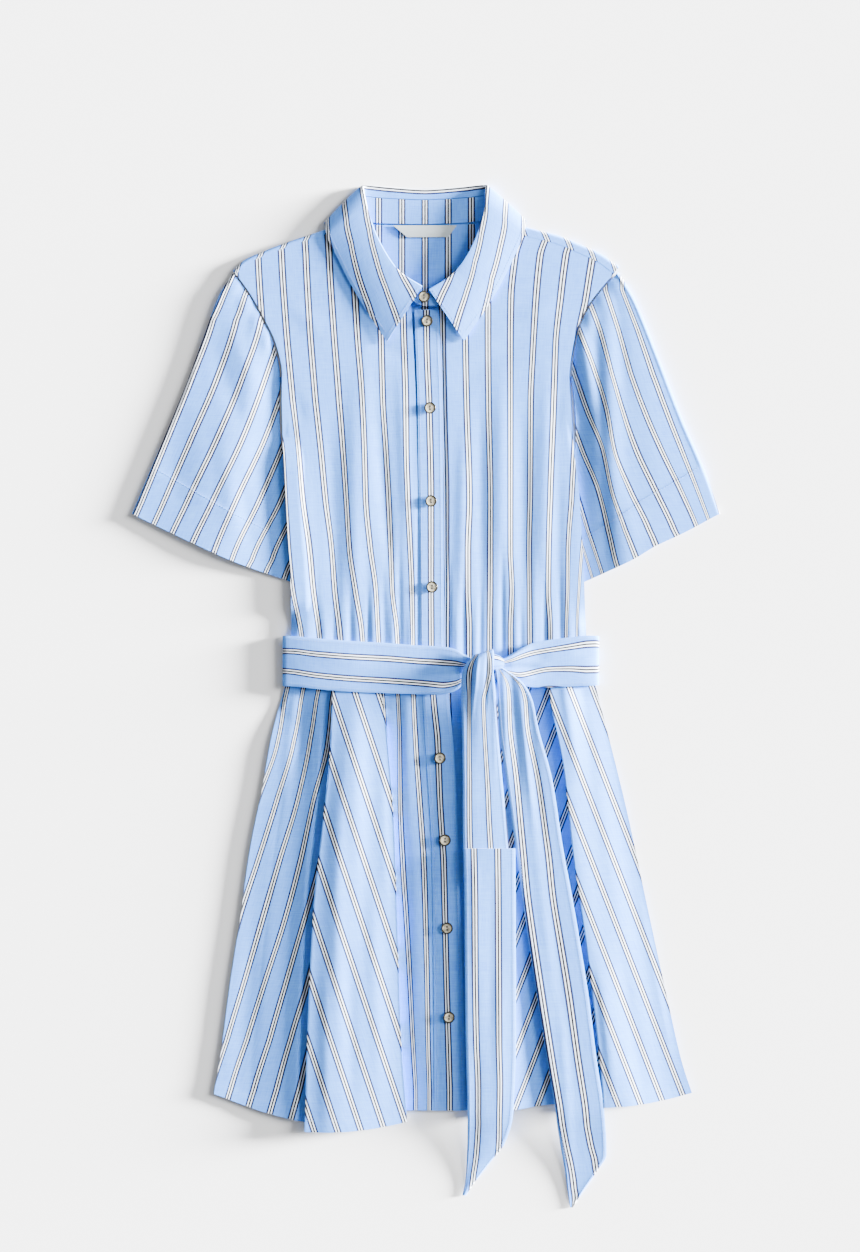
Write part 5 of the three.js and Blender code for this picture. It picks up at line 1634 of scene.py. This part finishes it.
@dataclass
class Collar:
    """The collar: a stand round the neck, and a fall that turns over it."""

    sewing: Sewing
    meet: float = 0.3
    layers: float = 0.9
    turn_width: float = 0.35  # how wide the roll is for its height
    middle_x: float = -5.5

    def __post_init__(self) -> None:
        table = np.array(COLLAR, float)
        self.columns = [Track(table[:, k]) for k in range(table.shape[1])]

    def station(self, t: Array) -> dict[str, Array]:
        """Roll, edge, seam, meeting height and directions at a share t of the way round."""
        values = [column(t) for column in self.columns]
        roll, edge, seam = [stack(*values[k:k + 3]) for k in (0, 3, 6)]
        flat = (edge - roll) * (1, 1, 0)
        down = flat / np.linalg.norm(flat, axis=-1, keepdims=True)
        side = np.where(roll[..., 0] < self.middle_x, 1.0, -1.0)
        level = stack(down[..., 1] * side, -down[..., 0] * side, np.zeros_like(side))
        angle = np.radians(values[10])
        out = level * np.cos(angle)[..., None] + stack(0 * angle, 0 * angle, np.sin(angle))
        return {"roll": roll, "edge": edge, "seam": seam, "meet_z": values[9], "down": down, "out": out}

    def fall(self) -> bpy.types.Object:
        """The fall, from where it meets the stand, over the roll and down to its edge.

        Returns:
            The piece.
        """
        inner, turned = 0.16, 0.34  # shares of the way across that the hidden layer and the roll take

        def surface(u: Array, t: Array) -> Array:
            c = self.station(t)
            roll, edge, out = c["roll"], c["edge"], c["out"]
            to_seam = (c["seam"] - roll) * (1, 1, 0)
            to_seam /= np.linalg.norm(to_seam, axis=-1, keepdims=True)
            meet = mix(roll, c["seam"], self.meet)
            meet = stack(meet[..., 0], meet[..., 1], c["meet_z"]) - out * (1, 1, 0) * self.layers
            narrow = self.layers * self.turn_width
            start = roll + to_seam * narrow - out * self.layers
            first = mix(meet, start, np.clip(u / inner, 0, 1)[..., None])
            angle = mix(-math.pi / 2, math.pi / 2, np.clip((u - inner) / (turned - inner), 0, 1))
            way = np.where((angle < 0)[..., None], to_seam, c["down"])
            curled = roll + way * (narrow * (1 - np.cos(angle)))[..., None]
            curled = curled + out * (self.layers * np.sin(angle))[..., None]
            outer = roll + c["down"] * narrow + out * self.layers
            share = np.clip((u - turned) / (1 - turned), 0, 1)
            swell = 0.9 * np.sin(math.pi * share) ** 0.8
            last = mix(outer, edge, share[..., None]) + out * swell[..., None]
            part = np.where((u < inner)[..., None], first, curled)
            return np.where((u > turned)[..., None], last, part)

        rows = np.array(COLLAR_STRIPES)[::-1]
        places = rows[:, 0] / (len(COLLAR) - 1)

        def cloth(u: Array, t: Array) -> Array:
            c = self.station(t)
            length = np.linalg.norm(c["edge"] - c["roll"], axis=-1)
            depth = self.meet * np.linalg.norm(c["seam"] - c["roll"], axis=-1)
            bend = math.pi * self.layers
            past = np.clip((u - inner) / (turned - inner), 0, 1) * bend - bend / 2
            past += np.clip((u - turned) / (1 - turned), 0, 1) * length
            past -= np.clip(1 - u / inner, 0, 1) * depth
            at = [np.interp(t, places, rows[:, k]) * length for k in (1, 2, 3)]
            low = (past - at[0]) / (at[1] - at[0])
            high = 1 + (past - at[1]) / (at[2] - at[1])
            return stack(np.where(past < at[1], low, high) * PITCH, t * 520)

        return self.sewing.piece(
            "collar_fall_cloth", ("collar_fall",), Cut(0.4, 0.075, 0.0245, Held.FOLDED, ("collar_stand", "bodice_back")),
            surface, cloth, (50, 240), DOUBLED, crisp=(turned,),
            seams=(Seam((0.95, 0.01), (0.95, 0.99)), Seam((0.36, 0.006), (0.95, 0.006)), Seam((0.36, 0.994), (0.95, 0.994))),
        )

    def stand(self) -> bpy.types.Object:
        """The stand, between its seam with the body and the fall, with its two ends in front.

        Returns:
            The piece.
        """
        share = 1 - self.meet - 0.02
        t = np.linspace(0, 1, 121)
        c = self.station(t)
        low = c["seam"]
        high = mix(low, stack(c["roll"][..., 0], c["roll"][..., 1], low[..., 2]), share)
        high = stack(high[..., 0], high[..., 1], c["meet_z"]) - c["out"] * (1, 1, 0) * self.layers
        before = np.array(((9, 359, 7.5, 8.5, 363.5, 7.5), (2, 358, 7.5, 1.5, 367, 7.6)))
        after = np.array(((-8, 357.6, 5.6, -8.5, 368, 5.6), (-15, 360, 5.6, -15, 365, 5.6)))
        low = np.concatenate([before[:, :3], low, after[:, :3]])
        high = np.concatenate([before[:, 3:], high, after[:, 3:]])
        reach = np.concatenate([[0], np.cumsum(np.linalg.norm(np.diff(low, axis=0), axis=1))])

        def surface(u: Array, v: Array) -> Array:
            at = v * reach[-1]
            a, b = [stack(*[np.interp(at, reach, edge[:, k]) for k in range(3)]) for edge in (low, high)]
            return mix(a, b, u[..., None])

        def cloth(u: Array, v: Array) -> Array:
            p = surface(u, v)
            return stack((p[..., 0] + 5) / 23.2 * PITCH, u * 30)

        return self.sewing.piece(
            "collar_stand_cloth", ("collar_stand",), Cut(0.4, 0.03, 0.0062, Held.FOLDED, ("bodice_back",)),
            surface, cloth, (12, 220), DOUBLED,
        )

    def build(self) -> None:
        """Makes both pieces of the collar."""
        self.stand()
        self.fall()


# Buttons and the label

BUTTONS = {
    "collar": (-6, 367), "bodice_1": (-3, 343), "bodice_2": (0, 256), "bodice_3": (1, 163), "bodice_4": (2, 77),
    "skirt_1": (10, -94), "skirt_2": (15, -176), "skirt_3": (17, -264), "skirt_4": (19, -353),
}


@dataclass
class Buttons:
    """Round buttons with a raised rim and two holes, sewn on with near-black thread whose colour is painted shade for
    the dark holes.
    """

    finish: bpy.types.Material
    # near-black thread, painted shade for the holes
    thread: bpy.types.Material
    radius: float = 5.9
    thickness: float = 2.3
    hole: float = 0.95
    hole_offset: float = 1.5
    tilt: tuple[float, ...] = (3, -4, 2, 5, -3, 4, -2, 3, -5)
    flatness: float = 0.6  # how deep it is drawn for its thickness

    def template(self) -> bmesh.types.BMesh:
        """One button at the origin, in mm.

        Returns:
            Its mesh, which the caller frees.
        """
        r, h = self.radius, self.thickness
        profile = (
            (0.001, 0.15), (r - 1.6, 0.1), (r - 0.5, 0.45), (r - 0.08, 1.0), (r, 1.5), (r - 0.25, h - 0.18),
            (r - 0.75, h), (r - 1.35, h - 0.16), (r - 1.9, h - 0.5), (r - 2.9, h - 0.62), (0.001, h - 0.66),
        )
        bm = bmesh.new()
        ring = [bm.verts.new((x, 0, z)) for x, z in profile]
        edges = [bm.edges.new(pair) for pair in zip(ring, ring[1:])]
        bmesh.ops.spin(
            bm, geom=ring + edges, cent=(0, 0, 0), axis=(0, 0, 1), angle=2 * math.pi, steps=40, use_merge=True,
        )
        bmesh.ops.remove_doubles(bm, verts=bm.verts, dist=0.01)
        bmesh.ops.recalc_face_normals(bm, faces=bm.faces)
        return bm

    def drill(self, obj: bpy.types.Object) -> None:
        """Cuts the two holes and applies the cut."""
        bm = bmesh.new()
        for side in (1, -1):
            bmesh.ops.create_cone(
                bm, cap_ends=True, segments=20, radius1=self.hole, radius2=self.hole, depth=8,
                matrix=Matrix.Translation((0, side * self.hole_offset, 1)),
            )
        cutter = object_of("button_drill", bm)
        cut = obj.modifiers.new("holes", "BOOLEAN")
        cut.operation = "DIFFERENCE"
        cut.solver = "EXACT"
        cut.object = cutter
        bpy.context.view_layer.update()
        drilled = bpy.data.meshes.new_from_object(obj.evaluated_get(bpy.context.evaluated_depsgraph_get()))
        obj.modifiers.clear()
        obj.data = drilled
        bpy.data.objects.remove(cutter)
        layer = drilled.uv_layers.new(name=CLOTH_MAP)
        for loop in drilled.loops:
            x, y, z = drilled.vertices[loop.vertex_index].co
            layer.data[loop.index].uv = (math.hypot(x, y) / self.radius, z / self.thickness)

    def stitches(self) -> bmesh.types.BMesh:
        """The thread that fills the two holes and crosses between them, in mm. Its near-black colour is painted shade
        that stands in for the holes.
        """
        bm = bmesh.new()
        for y, wide, long, high in (
            (-self.hole_offset, 1.1, 1.1, 0.16), (self.hole_offset, 1.1, 1.1, 0.16), (0, 0.2, 1.5, 0.2)
        ):
            bmesh.ops.create_uvsphere(
                bm, u_segments=14, v_segments=8, radius=1,
                matrix=Matrix.Translation((0, y, self.thickness - 0.66)) @ Matrix.Diagonal((wide, long, high, 1)),
            )
        return bm

    def build(self) -> None:
        """Makes the nine buttons that show, each where its solid is."""
        source = object_of("button_source", self.template())
        self.drill(source)
        for number, (name, _) in enumerate(BUTTONS.items()):
            low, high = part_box(f"button_{name}")
            middle = (low + high) / 2
            turn = Matrix.Rotation(math.radians(self.tilt[number]), 4, "Z")
            size = Matrix.Diagonal((MM, MM, self.flatness * MM, 1))
            place = Matrix.Translation((middle.x, middle.y, low.z)) @ turn @ size
            # The thread pieces carry painted shade: their near-black colour stands in for the dark holes.
            for kind, material in (("disc", self.finish), ("thread", self.thread)):
                bm = self.stitches() if kind == "thread" else bmesh.new()
                if kind == "disc":
                    bm.from_mesh(source.data)
                bmesh.ops.transform(bm, matrix=place, verts=bm.verts)
                for face in bm.faces:
                    face.smooth = abs(face.normal.z) < 0.97
                obj = object_of(f"button_{name}_{kind}", bm)
                obj.data.materials.append(material)
                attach(obj, "root")
                if kind == "disc":
                    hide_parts(f"button_{name}")
        bpy.data.objects.remove(source)
        log.info("buttons: %d", len(BUTTONS))


@dataclass
class Label:
    """The blank label sewn in at the back of the neck."""

    material: bpy.types.Material
    top: float = 438.8
    low: float = 427.0

    def build(self) -> None:
        """Makes the label."""

        def surface(u: Array, v: Array) -> Array:
            left, right = mix(-37, -23, v), mix(27, 18, v)
            x, y = mix(left, right, u), mix(self.top, self.low, v)
            return stack(x, y, back_z(x, y) + 1.5 + 0.35 * np.sin(math.pi * v))

        def cloth(u: Array, v: Array) -> Array:
            return stack(u * 64, v * 12)

        obj = grid_mesh("neck_label_cloth", surface, cloth, 40, 10)
        thicken(obj, 0.5)
        obj.data.materials.append(self.material)
        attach(obj, "root")
        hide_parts("neck_label")
        log.info("label made")


# Materials


class Graph:
    """Adds and joins the nodes of one shader tree.

    Args:
        tree: the tree.
    """

    def __init__(self, tree: bpy.types.NodeTree) -> None:
        self.tree = tree

    def node(self, kind: str, values: dict[str, object] | None = None, **settings: object) -> bpy.types.Node:
        """A new node.

        Args:
            kind: its type, without the ShaderNode prefix.
            values: numbers, colours or sockets for its inputs.
            settings: its other settings.

        Returns:
            The node.
        """
        made = self.tree.nodes.new(kind if kind.startswith("Node") else "ShaderNode" + kind)
        for key, value in settings.items():
            setattr(made, key, value)
        for key, value in (values or {}).items():
            socket = made.inputs[key]
            if isinstance(value, bpy.types.NodeSocket):
                self.tree.links.new(value, socket)
            else:
                socket.default_value = value
        return made

    def math(self, operation: str, *values: object) -> bpy.types.NodeSocket:
        """One sum, from numbers or sockets."""
        return self.node("Math", dict(enumerate(values)), operation=operation).outputs[0]

    def blend(self, share: object, a: object, b: object) -> bpy.types.NodeSocket:
        """A colour between two others."""
        made = self.node("Mix", data_type="RGBA")
        for key, value in ((0, share), (6, a), (7, b)):
            if isinstance(value, bpy.types.NodeSocket):
                self.tree.links.new(value, made.inputs[key])
            else:
                made.inputs[key].default_value = value
        return made.outputs[2]


def srgb(red: int, green: int, blue: int) -> tuple[float, float, float, float]:
    """A colour from its screen values, 0 to 255."""

    def linear(value: int) -> float:
        c = value / 255
        return c / 12.92 if c <= 0.04045 else ((c + 0.055) / 1.055) ** 2.4

    return (linear(red), linear(green), linear(blue), 1.0)


def group(name: str, inputs: dict[str, tuple[str, object]], outputs: dict[str, str]) -> tuple[bpy.types.NodeTree, Graph, dict, dict]:
    """An empty shader group.

    Args:
        name: its name.
        inputs: the type and default of each input.
        outputs: the type of each output.

    Returns:
        The tree, its graph, its input sockets by name and its output node's inputs by name.
    """
    tree = bpy.data.node_groups.new(name, "ShaderNodeTree")
    for key, (kind, value) in inputs.items():
        socket = tree.interface.new_socket(name=key, in_out="INPUT", socket_type="NodeSocket" + kind)
        if value is not None:
            socket.default_value = value
    for key, kind in outputs.items():
        tree.interface.new_socket(name=key, in_out="OUTPUT", socket_type="NodeSocket" + kind)
    graph = Graph(tree)
    entry = graph.node("NodeGroupInput")
    leave = graph.node("NodeGroupOutput")
    return tree, graph, {k: entry.outputs[k] for k in inputs}, {k: leave.inputs[k] for k in outputs}


def weave_group() -> bpy.types.NodeTree:
    """Plain weave: how high each thread stands and how the yarns vary.

    Returns:
        The group, with the outputs Height and Slub.
    """
    tree, graph, entry, leave = group(
        "Plain weave",
        {"Cloth": ("Vector", None), "Threads": ("Float", 2400.0), "Slub scale": ("Float", 900.0)},
        {"Height": "Float", "Slub": "Float"},
    )
    split = graph.node("SeparateXYZ", {0: entry["Cloth"]})
    across, along = [graph.math("MULTIPLY", split.outputs[k], entry["Threads"]) for k in (0, 1)]
    waves = [graph.math("SINE", graph.math("MULTIPLY", value, math.pi)) for value in (across, along)]
    height = graph.math("MULTIPLY", waves[0], waves[1])
    scale = graph.math("DIVIDE", entry["Slub scale"], 14.0)
    streak = graph.node("CombineXYZ", {
        0: graph.math("MULTIPLY", split.outputs[0], entry["Slub scale"]),
        1: graph.math("MULTIPLY", split.outputs[1], scale),
    })
    crossed = graph.node("CombineXYZ", {
        0: graph.math("MULTIPLY", split.outputs[0], scale),
        1: graph.math("MULTIPLY", split.outputs[1], entry["Slub scale"]),
    })
    noises = [
        graph.node("TexNoise", {"Vector": vector.outputs[0], "Scale": 1.0, "Detail": 3.0}).outputs[0]
        for vector in (streak, crossed)
    ]
    slub = graph.math("MULTIPLY", graph.math("ADD", *noises), 0.5)
    tree.links.new(height, leave["Height"])
    tree.links.new(slub, leave["Slub"])
    return tree


def stripe_group() -> bpy.types.NodeTree:
    """Yarn-dyed stripes: a brown line between two white ones, edged with violet on each side.

    Returns:
        The group, with the output Color.
    """
    tree, graph, entry, leave = group(
        "Yarn stripes",
        {
            "Cloth": ("Vector", None), "Pitch": ("Float", PITCH * MM), "Reach": ("Float", 4.0 * MM),
            "Ground": ("Color", (0.5, 0.6, 0.9, 1)),
        },
        {"Color": "Color"},
    )
    split = graph.node("SeparateXYZ", {0: entry["Cloth"]})
    half = graph.math("MULTIPLY", entry["Pitch"], 0.5)
    distance = graph.math("PINGPONG", split.outputs[0], half)
    share = graph.math("DIVIDE", distance, entry["Reach"])
    ramp = graph.node("ValToRGB", {0: share})
    stops = (
        (0.0, srgb(14, 10, 16)), (0.17, srgb(18, 14, 22)), (0.23, srgb(216, 225, 238)),
        (0.44, srgb(216, 225, 238)), (0.51, srgb(8, 10, 50)), (0.86, srgb(12, 16, 66)),
    )
    while len(ramp.color_ramp.elements) < len(stops):
        ramp.color_ramp.elements.new(0.5)
    for element, (position, color) in zip(ramp.color_ramp.elements, stops):
        element.position = position
        element.color = color
    on_stripe = graph.node("MapRange", {"Value": share, "From Min": 0.87, "From Max": 0.93})
    color = graph.blend(on_stripe.outputs[0], ramp.outputs[0], entry["Ground"])
    tree.links.new(color, leave["Color"])
    return tree


@dataclass(frozen=True)
class CottonFinish:
    """Fine striped shirting."""

    ground: tuple[float, ...] = srgb(82, 149, 233)
    deep: tuple[float, ...] = srgb(64, 124, 220)
    roughness: float = 0.82
    sheen: float = 0.25
    bump: float = 0.12

    def material(self, weave: bpy.types.NodeTree, stripes: bpy.types.NodeTree) -> bpy.types.Material:
        """The finish as a material.

        Args:
            weave: the weave group.
            stripes: the stripe group.

        Returns:
            The material.
        """
        made = bpy.data.materials.new("striped_cotton_cloth")
        made.use_nodes = True
        graph = Graph(made.node_tree)
        shader = made.node_tree.nodes["Principled BSDF"]
        cloth = graph.node("UVMap", uv_map=CLOTH_MAP).outputs[0]
        threads = graph.node("Group", node_tree=weave)
        made.node_tree.links.new(cloth, threads.inputs["Cloth"])
        slub = threads.outputs["Slub"]
        contrast = graph.node("MapRange", {"Value": slub, "From Min": 0.35, "From Max": 0.65})
        ground = graph.blend(contrast.outputs[0], self.deep, self.ground)
        striped = graph.node("Group", node_tree=stripes)
        made.node_tree.links.new(cloth, striped.inputs["Cloth"])
        made.node_tree.links.new(ground, striped.inputs["Ground"])
        made.node_tree.links.new(striped.outputs["Color"], shader.inputs["Base Color"])
        rough = graph.math("MULTIPLY_ADD", slub, 0.12, self.roughness - 0.06)
        made.node_tree.links.new(rough, shader.inputs["Roughness"])
        height = graph.math("ADD", graph.math("MULTIPLY", threads.outputs["Height"], 0.5), slub)
        bump = graph.node("Bump", {"Strength": self.bump, "Distance": 0.0002, "Height": height})
        made.node_tree.links.new(bump.outputs[0], shader.inputs["Normal"])
        shader.inputs["Sheen Weight"].default_value = self.sheen
        shader.inputs["Sheen Roughness"].default_value = 0.5
        shader.inputs["Sheen Tint"].default_value = (0.75, 0.86, 1.0, 1.0)
        shader.inputs["Specular IOR Level"].default_value = 0.2
        return made


@dataclass(frozen=True)
class LabelFinish:
    """Pale grey satin ribbon."""

    color: tuple[float, ...] = srgb(158, 168, 172)
    roughness: float = 0.5

    def material(self, weave: bpy.types.NodeTree) -> bpy.types.Material:
        """The finish as a material, on the weave group."""
        made = bpy.data.materials.new("label_ribbon")
        made.use_nodes = True
        graph = Graph(made.node_tree)
        shader = made.node_tree.nodes["Principled BSDF"]
        cloth = graph.node("UVMap", uv_map=CLOTH_MAP).outputs[0]
        threads = graph.node("Group", node_tree=weave)
        threads.inputs["Threads"].default_value = 3600
        made.node_tree.links.new(cloth, threads.inputs["Cloth"])
        darker = tuple(value * 0.86 for value in self.color[:3]) + (1.0,)
        color = graph.blend(threads.outputs["Slub"], darker, self.color)
        made.node_tree.links.new(color, shader.inputs["Base Color"])
        bump = graph.node("Bump", {"Strength": 0.1, "Distance": 0.0002, "Height": threads.outputs["Height"]})
        made.node_tree.links.new(bump.outputs[0], shader.inputs["Normal"])
        shader.inputs["Roughness"].default_value = self.roughness
        shader.inputs["Sheen Weight"].default_value = 0.2
        return made


@dataclass(frozen=True)
class ButtonFinish:
    """Cream shell, clouded, darker towards the rim's edge."""

    pale: tuple[float, ...] = srgb(176, 170, 150)
    dark: tuple[float, ...] = srgb(104, 98, 82)
    rim: tuple[float, ...] = srgb(26, 23, 12)
    rim_share: float = 0.74

    def material(self) -> bpy.types.Material:
        """The finish as a material."""
        made = bpy.data.materials.new("button_shell")
        made.use_nodes = True
        graph = Graph(made.node_tree)
        shader = made.node_tree.nodes["Principled BSDF"]
        place = graph.node("TexCoord").outputs["Object"]
        cloud = graph.node("TexNoise", {"Vector": place, "Scale": 260.0, "Detail": 4.0})
        share = graph.node("MapRange", {"Value": cloud.outputs[0], "From Min": 0.38, "From Max": 0.66})
        shell = graph.blend(share.outputs[0], self.dark, self.pale)
        across = graph.node("SeparateXYZ", {0: graph.node("UVMap", uv_map=CLOTH_MAP).outputs[0]}).outputs[0]
        edge = graph.node("MapRange", {
            "Value": across, "From Min": self.rim_share - 0.06, "From Max": self.rim_share + 0.04,
        })
        color = graph.blend(edge.outputs[0], shell, self.rim)
        made.node_tree.links.new(color, shader.inputs["Base Color"])
        made.node_tree.links.new(
            graph.math("MULTIPLY_ADD", cloud.outputs[0], 0.2, 0.16), shader.inputs["Roughness"]
        )
        shader.inputs["Coat Weight"].default_value = 0.4
        shader.inputs["Coat Roughness"].default_value = 0.12
        return made


@dataclass(frozen=True)
class ThreadFinish:
    """Sewing thread, twisted. The buttons' near-black thread is painted shade for their holes."""

    color: tuple[float, ...]
    name: str

    def material(self) -> bpy.types.Material:
        """The finish as a material."""
        made = bpy.data.materials.new(self.name)
        made.use_nodes = True
        graph = Graph(made.node_tree)
        shader = made.node_tree.nodes["Principled BSDF"]
        place = graph.node("TexCoord").outputs["Object"]
        twist = graph.node("TexWave", {"Vector": place, "Scale": 1400.0, "Distortion": 2.0})
        darker = tuple(value * 0.8 for value in self.color[:3]) + (1.0,)
        color = graph.blend(twist.outputs["Fac"], darker, self.color)
        made.node_tree.links.new(color, shader.inputs["Base Color"])
        shader.inputs["Roughness"].default_value = 0.7
        shader.inputs["Sheen Weight"].default_value = 0.2
        return made


# Studio


@dataclass
class Studio:
    """The pale surface, the soft light from the right and the camera straight above."""

    camera_height: float = 3.2
    frame_height: float = 1.252
    middle_y: float = 0.038
    sensor: float = 36.0
    floor: tuple[float, ...] = srgb(238, 238, 238)

    def camera(self) -> None:
        """A long lens that looks straight down."""
        data = bpy.data.cameras.new("camera")
        data.sensor_width = self.sensor
        data.lens = self.sensor * (self.camera_height - 0.005) / self.frame_height
        data.clip_end = 50
        camera = bpy.data.objects.new("camera", data)
        camera.location = (0, self.middle_y, self.camera_height)
        bpy.context.scene.collection.objects.link(camera)
        bpy.context.scene.camera = camera

    def surface(self) -> None:
        """The floor that the dress lies on."""
        bm = bmesh.new()
        bmesh.ops.create_grid(bm, x_segments=1, y_segments=1, size=12)
        floor = object_of("floor", bm)
        made = bpy.data.materials.new("floor_paper")
        made.use_nodes = True
        shader = made.node_tree.nodes["Principled BSDF"]
        shader.inputs["Base Color"].default_value = self.floor
        shader.inputs["Roughness"].default_value = 0.9
        floor.data.materials.append(made)

    def lights(self) -> None:
        """A low broad key from the right, a high fill and an even sky."""
        for name, energy, spread, tilt, turn in (
            ("low_key", 150.0, 12, 83.9, 80), ("high_key", 6.5, 26, 60, 74), ("fill", 0.5, 70, 24, 40),
        ):
            data = bpy.data.lights.new(name, "SUN")
            data.energy = energy
            data.angle = math.radians(spread)
            lamp = bpy.data.objects.new(name, data)
            way = Vector((
                math.sin(math.radians(tilt)) * math.sin(math.radians(turn)),
                math.sin(math.radians(tilt)) * math.cos(math.radians(turn)),
                math.cos(math.radians(tilt)),
            ))
            lamp.rotation_mode = "QUATERNION"
            lamp.rotation_quaternion = way.to_track_quat("Z", "Y")
            bpy.context.scene.collection.objects.link(lamp)
        world = bpy.data.worlds.new("sky")
        world.use_nodes = True
        background = world.node_tree.nodes["Background"]
        background.inputs["Color"].default_value = (0.93, 0.96, 1.0, 1.0)
        background.inputs["Strength"].default_value = 0.34
        bpy.context.scene.world = world

    def build(self) -> None:
        """Makes the studio."""
        self.camera()
        self.surface()
        self.lights()


def main() -> None:
    """Builds the dress and the studio."""
    logging.basicConfig(level=logging.INFO, format="%(name)s %(message)s")
    Studio().build()
    weave, stripes = weave_group(), stripe_group()
    thread = ThreadFinish(srgb(112, 148, 208), "sewing_thread").material()
    sewing = Sewing(CottonFinish().material(weave, stripes), thread)
    Bodice(sewing).build()
    sleeve_right(sewing).build()
    sleeve_left(sewing).build()
    Collar(sewing).build()
    Skirt(sewing).build()
    Belt(sewing).build()
    Label(LabelFinish().material(weave)).build()
    # The button thread is near-black: painted shade for the two holes.
    Buttons(ButtonFinish().material(), ThreadFinish(srgb(20, 16, 12), "button_thread_painted_hole_shade").material()).build()


if __name__ == "__main__":
    main()
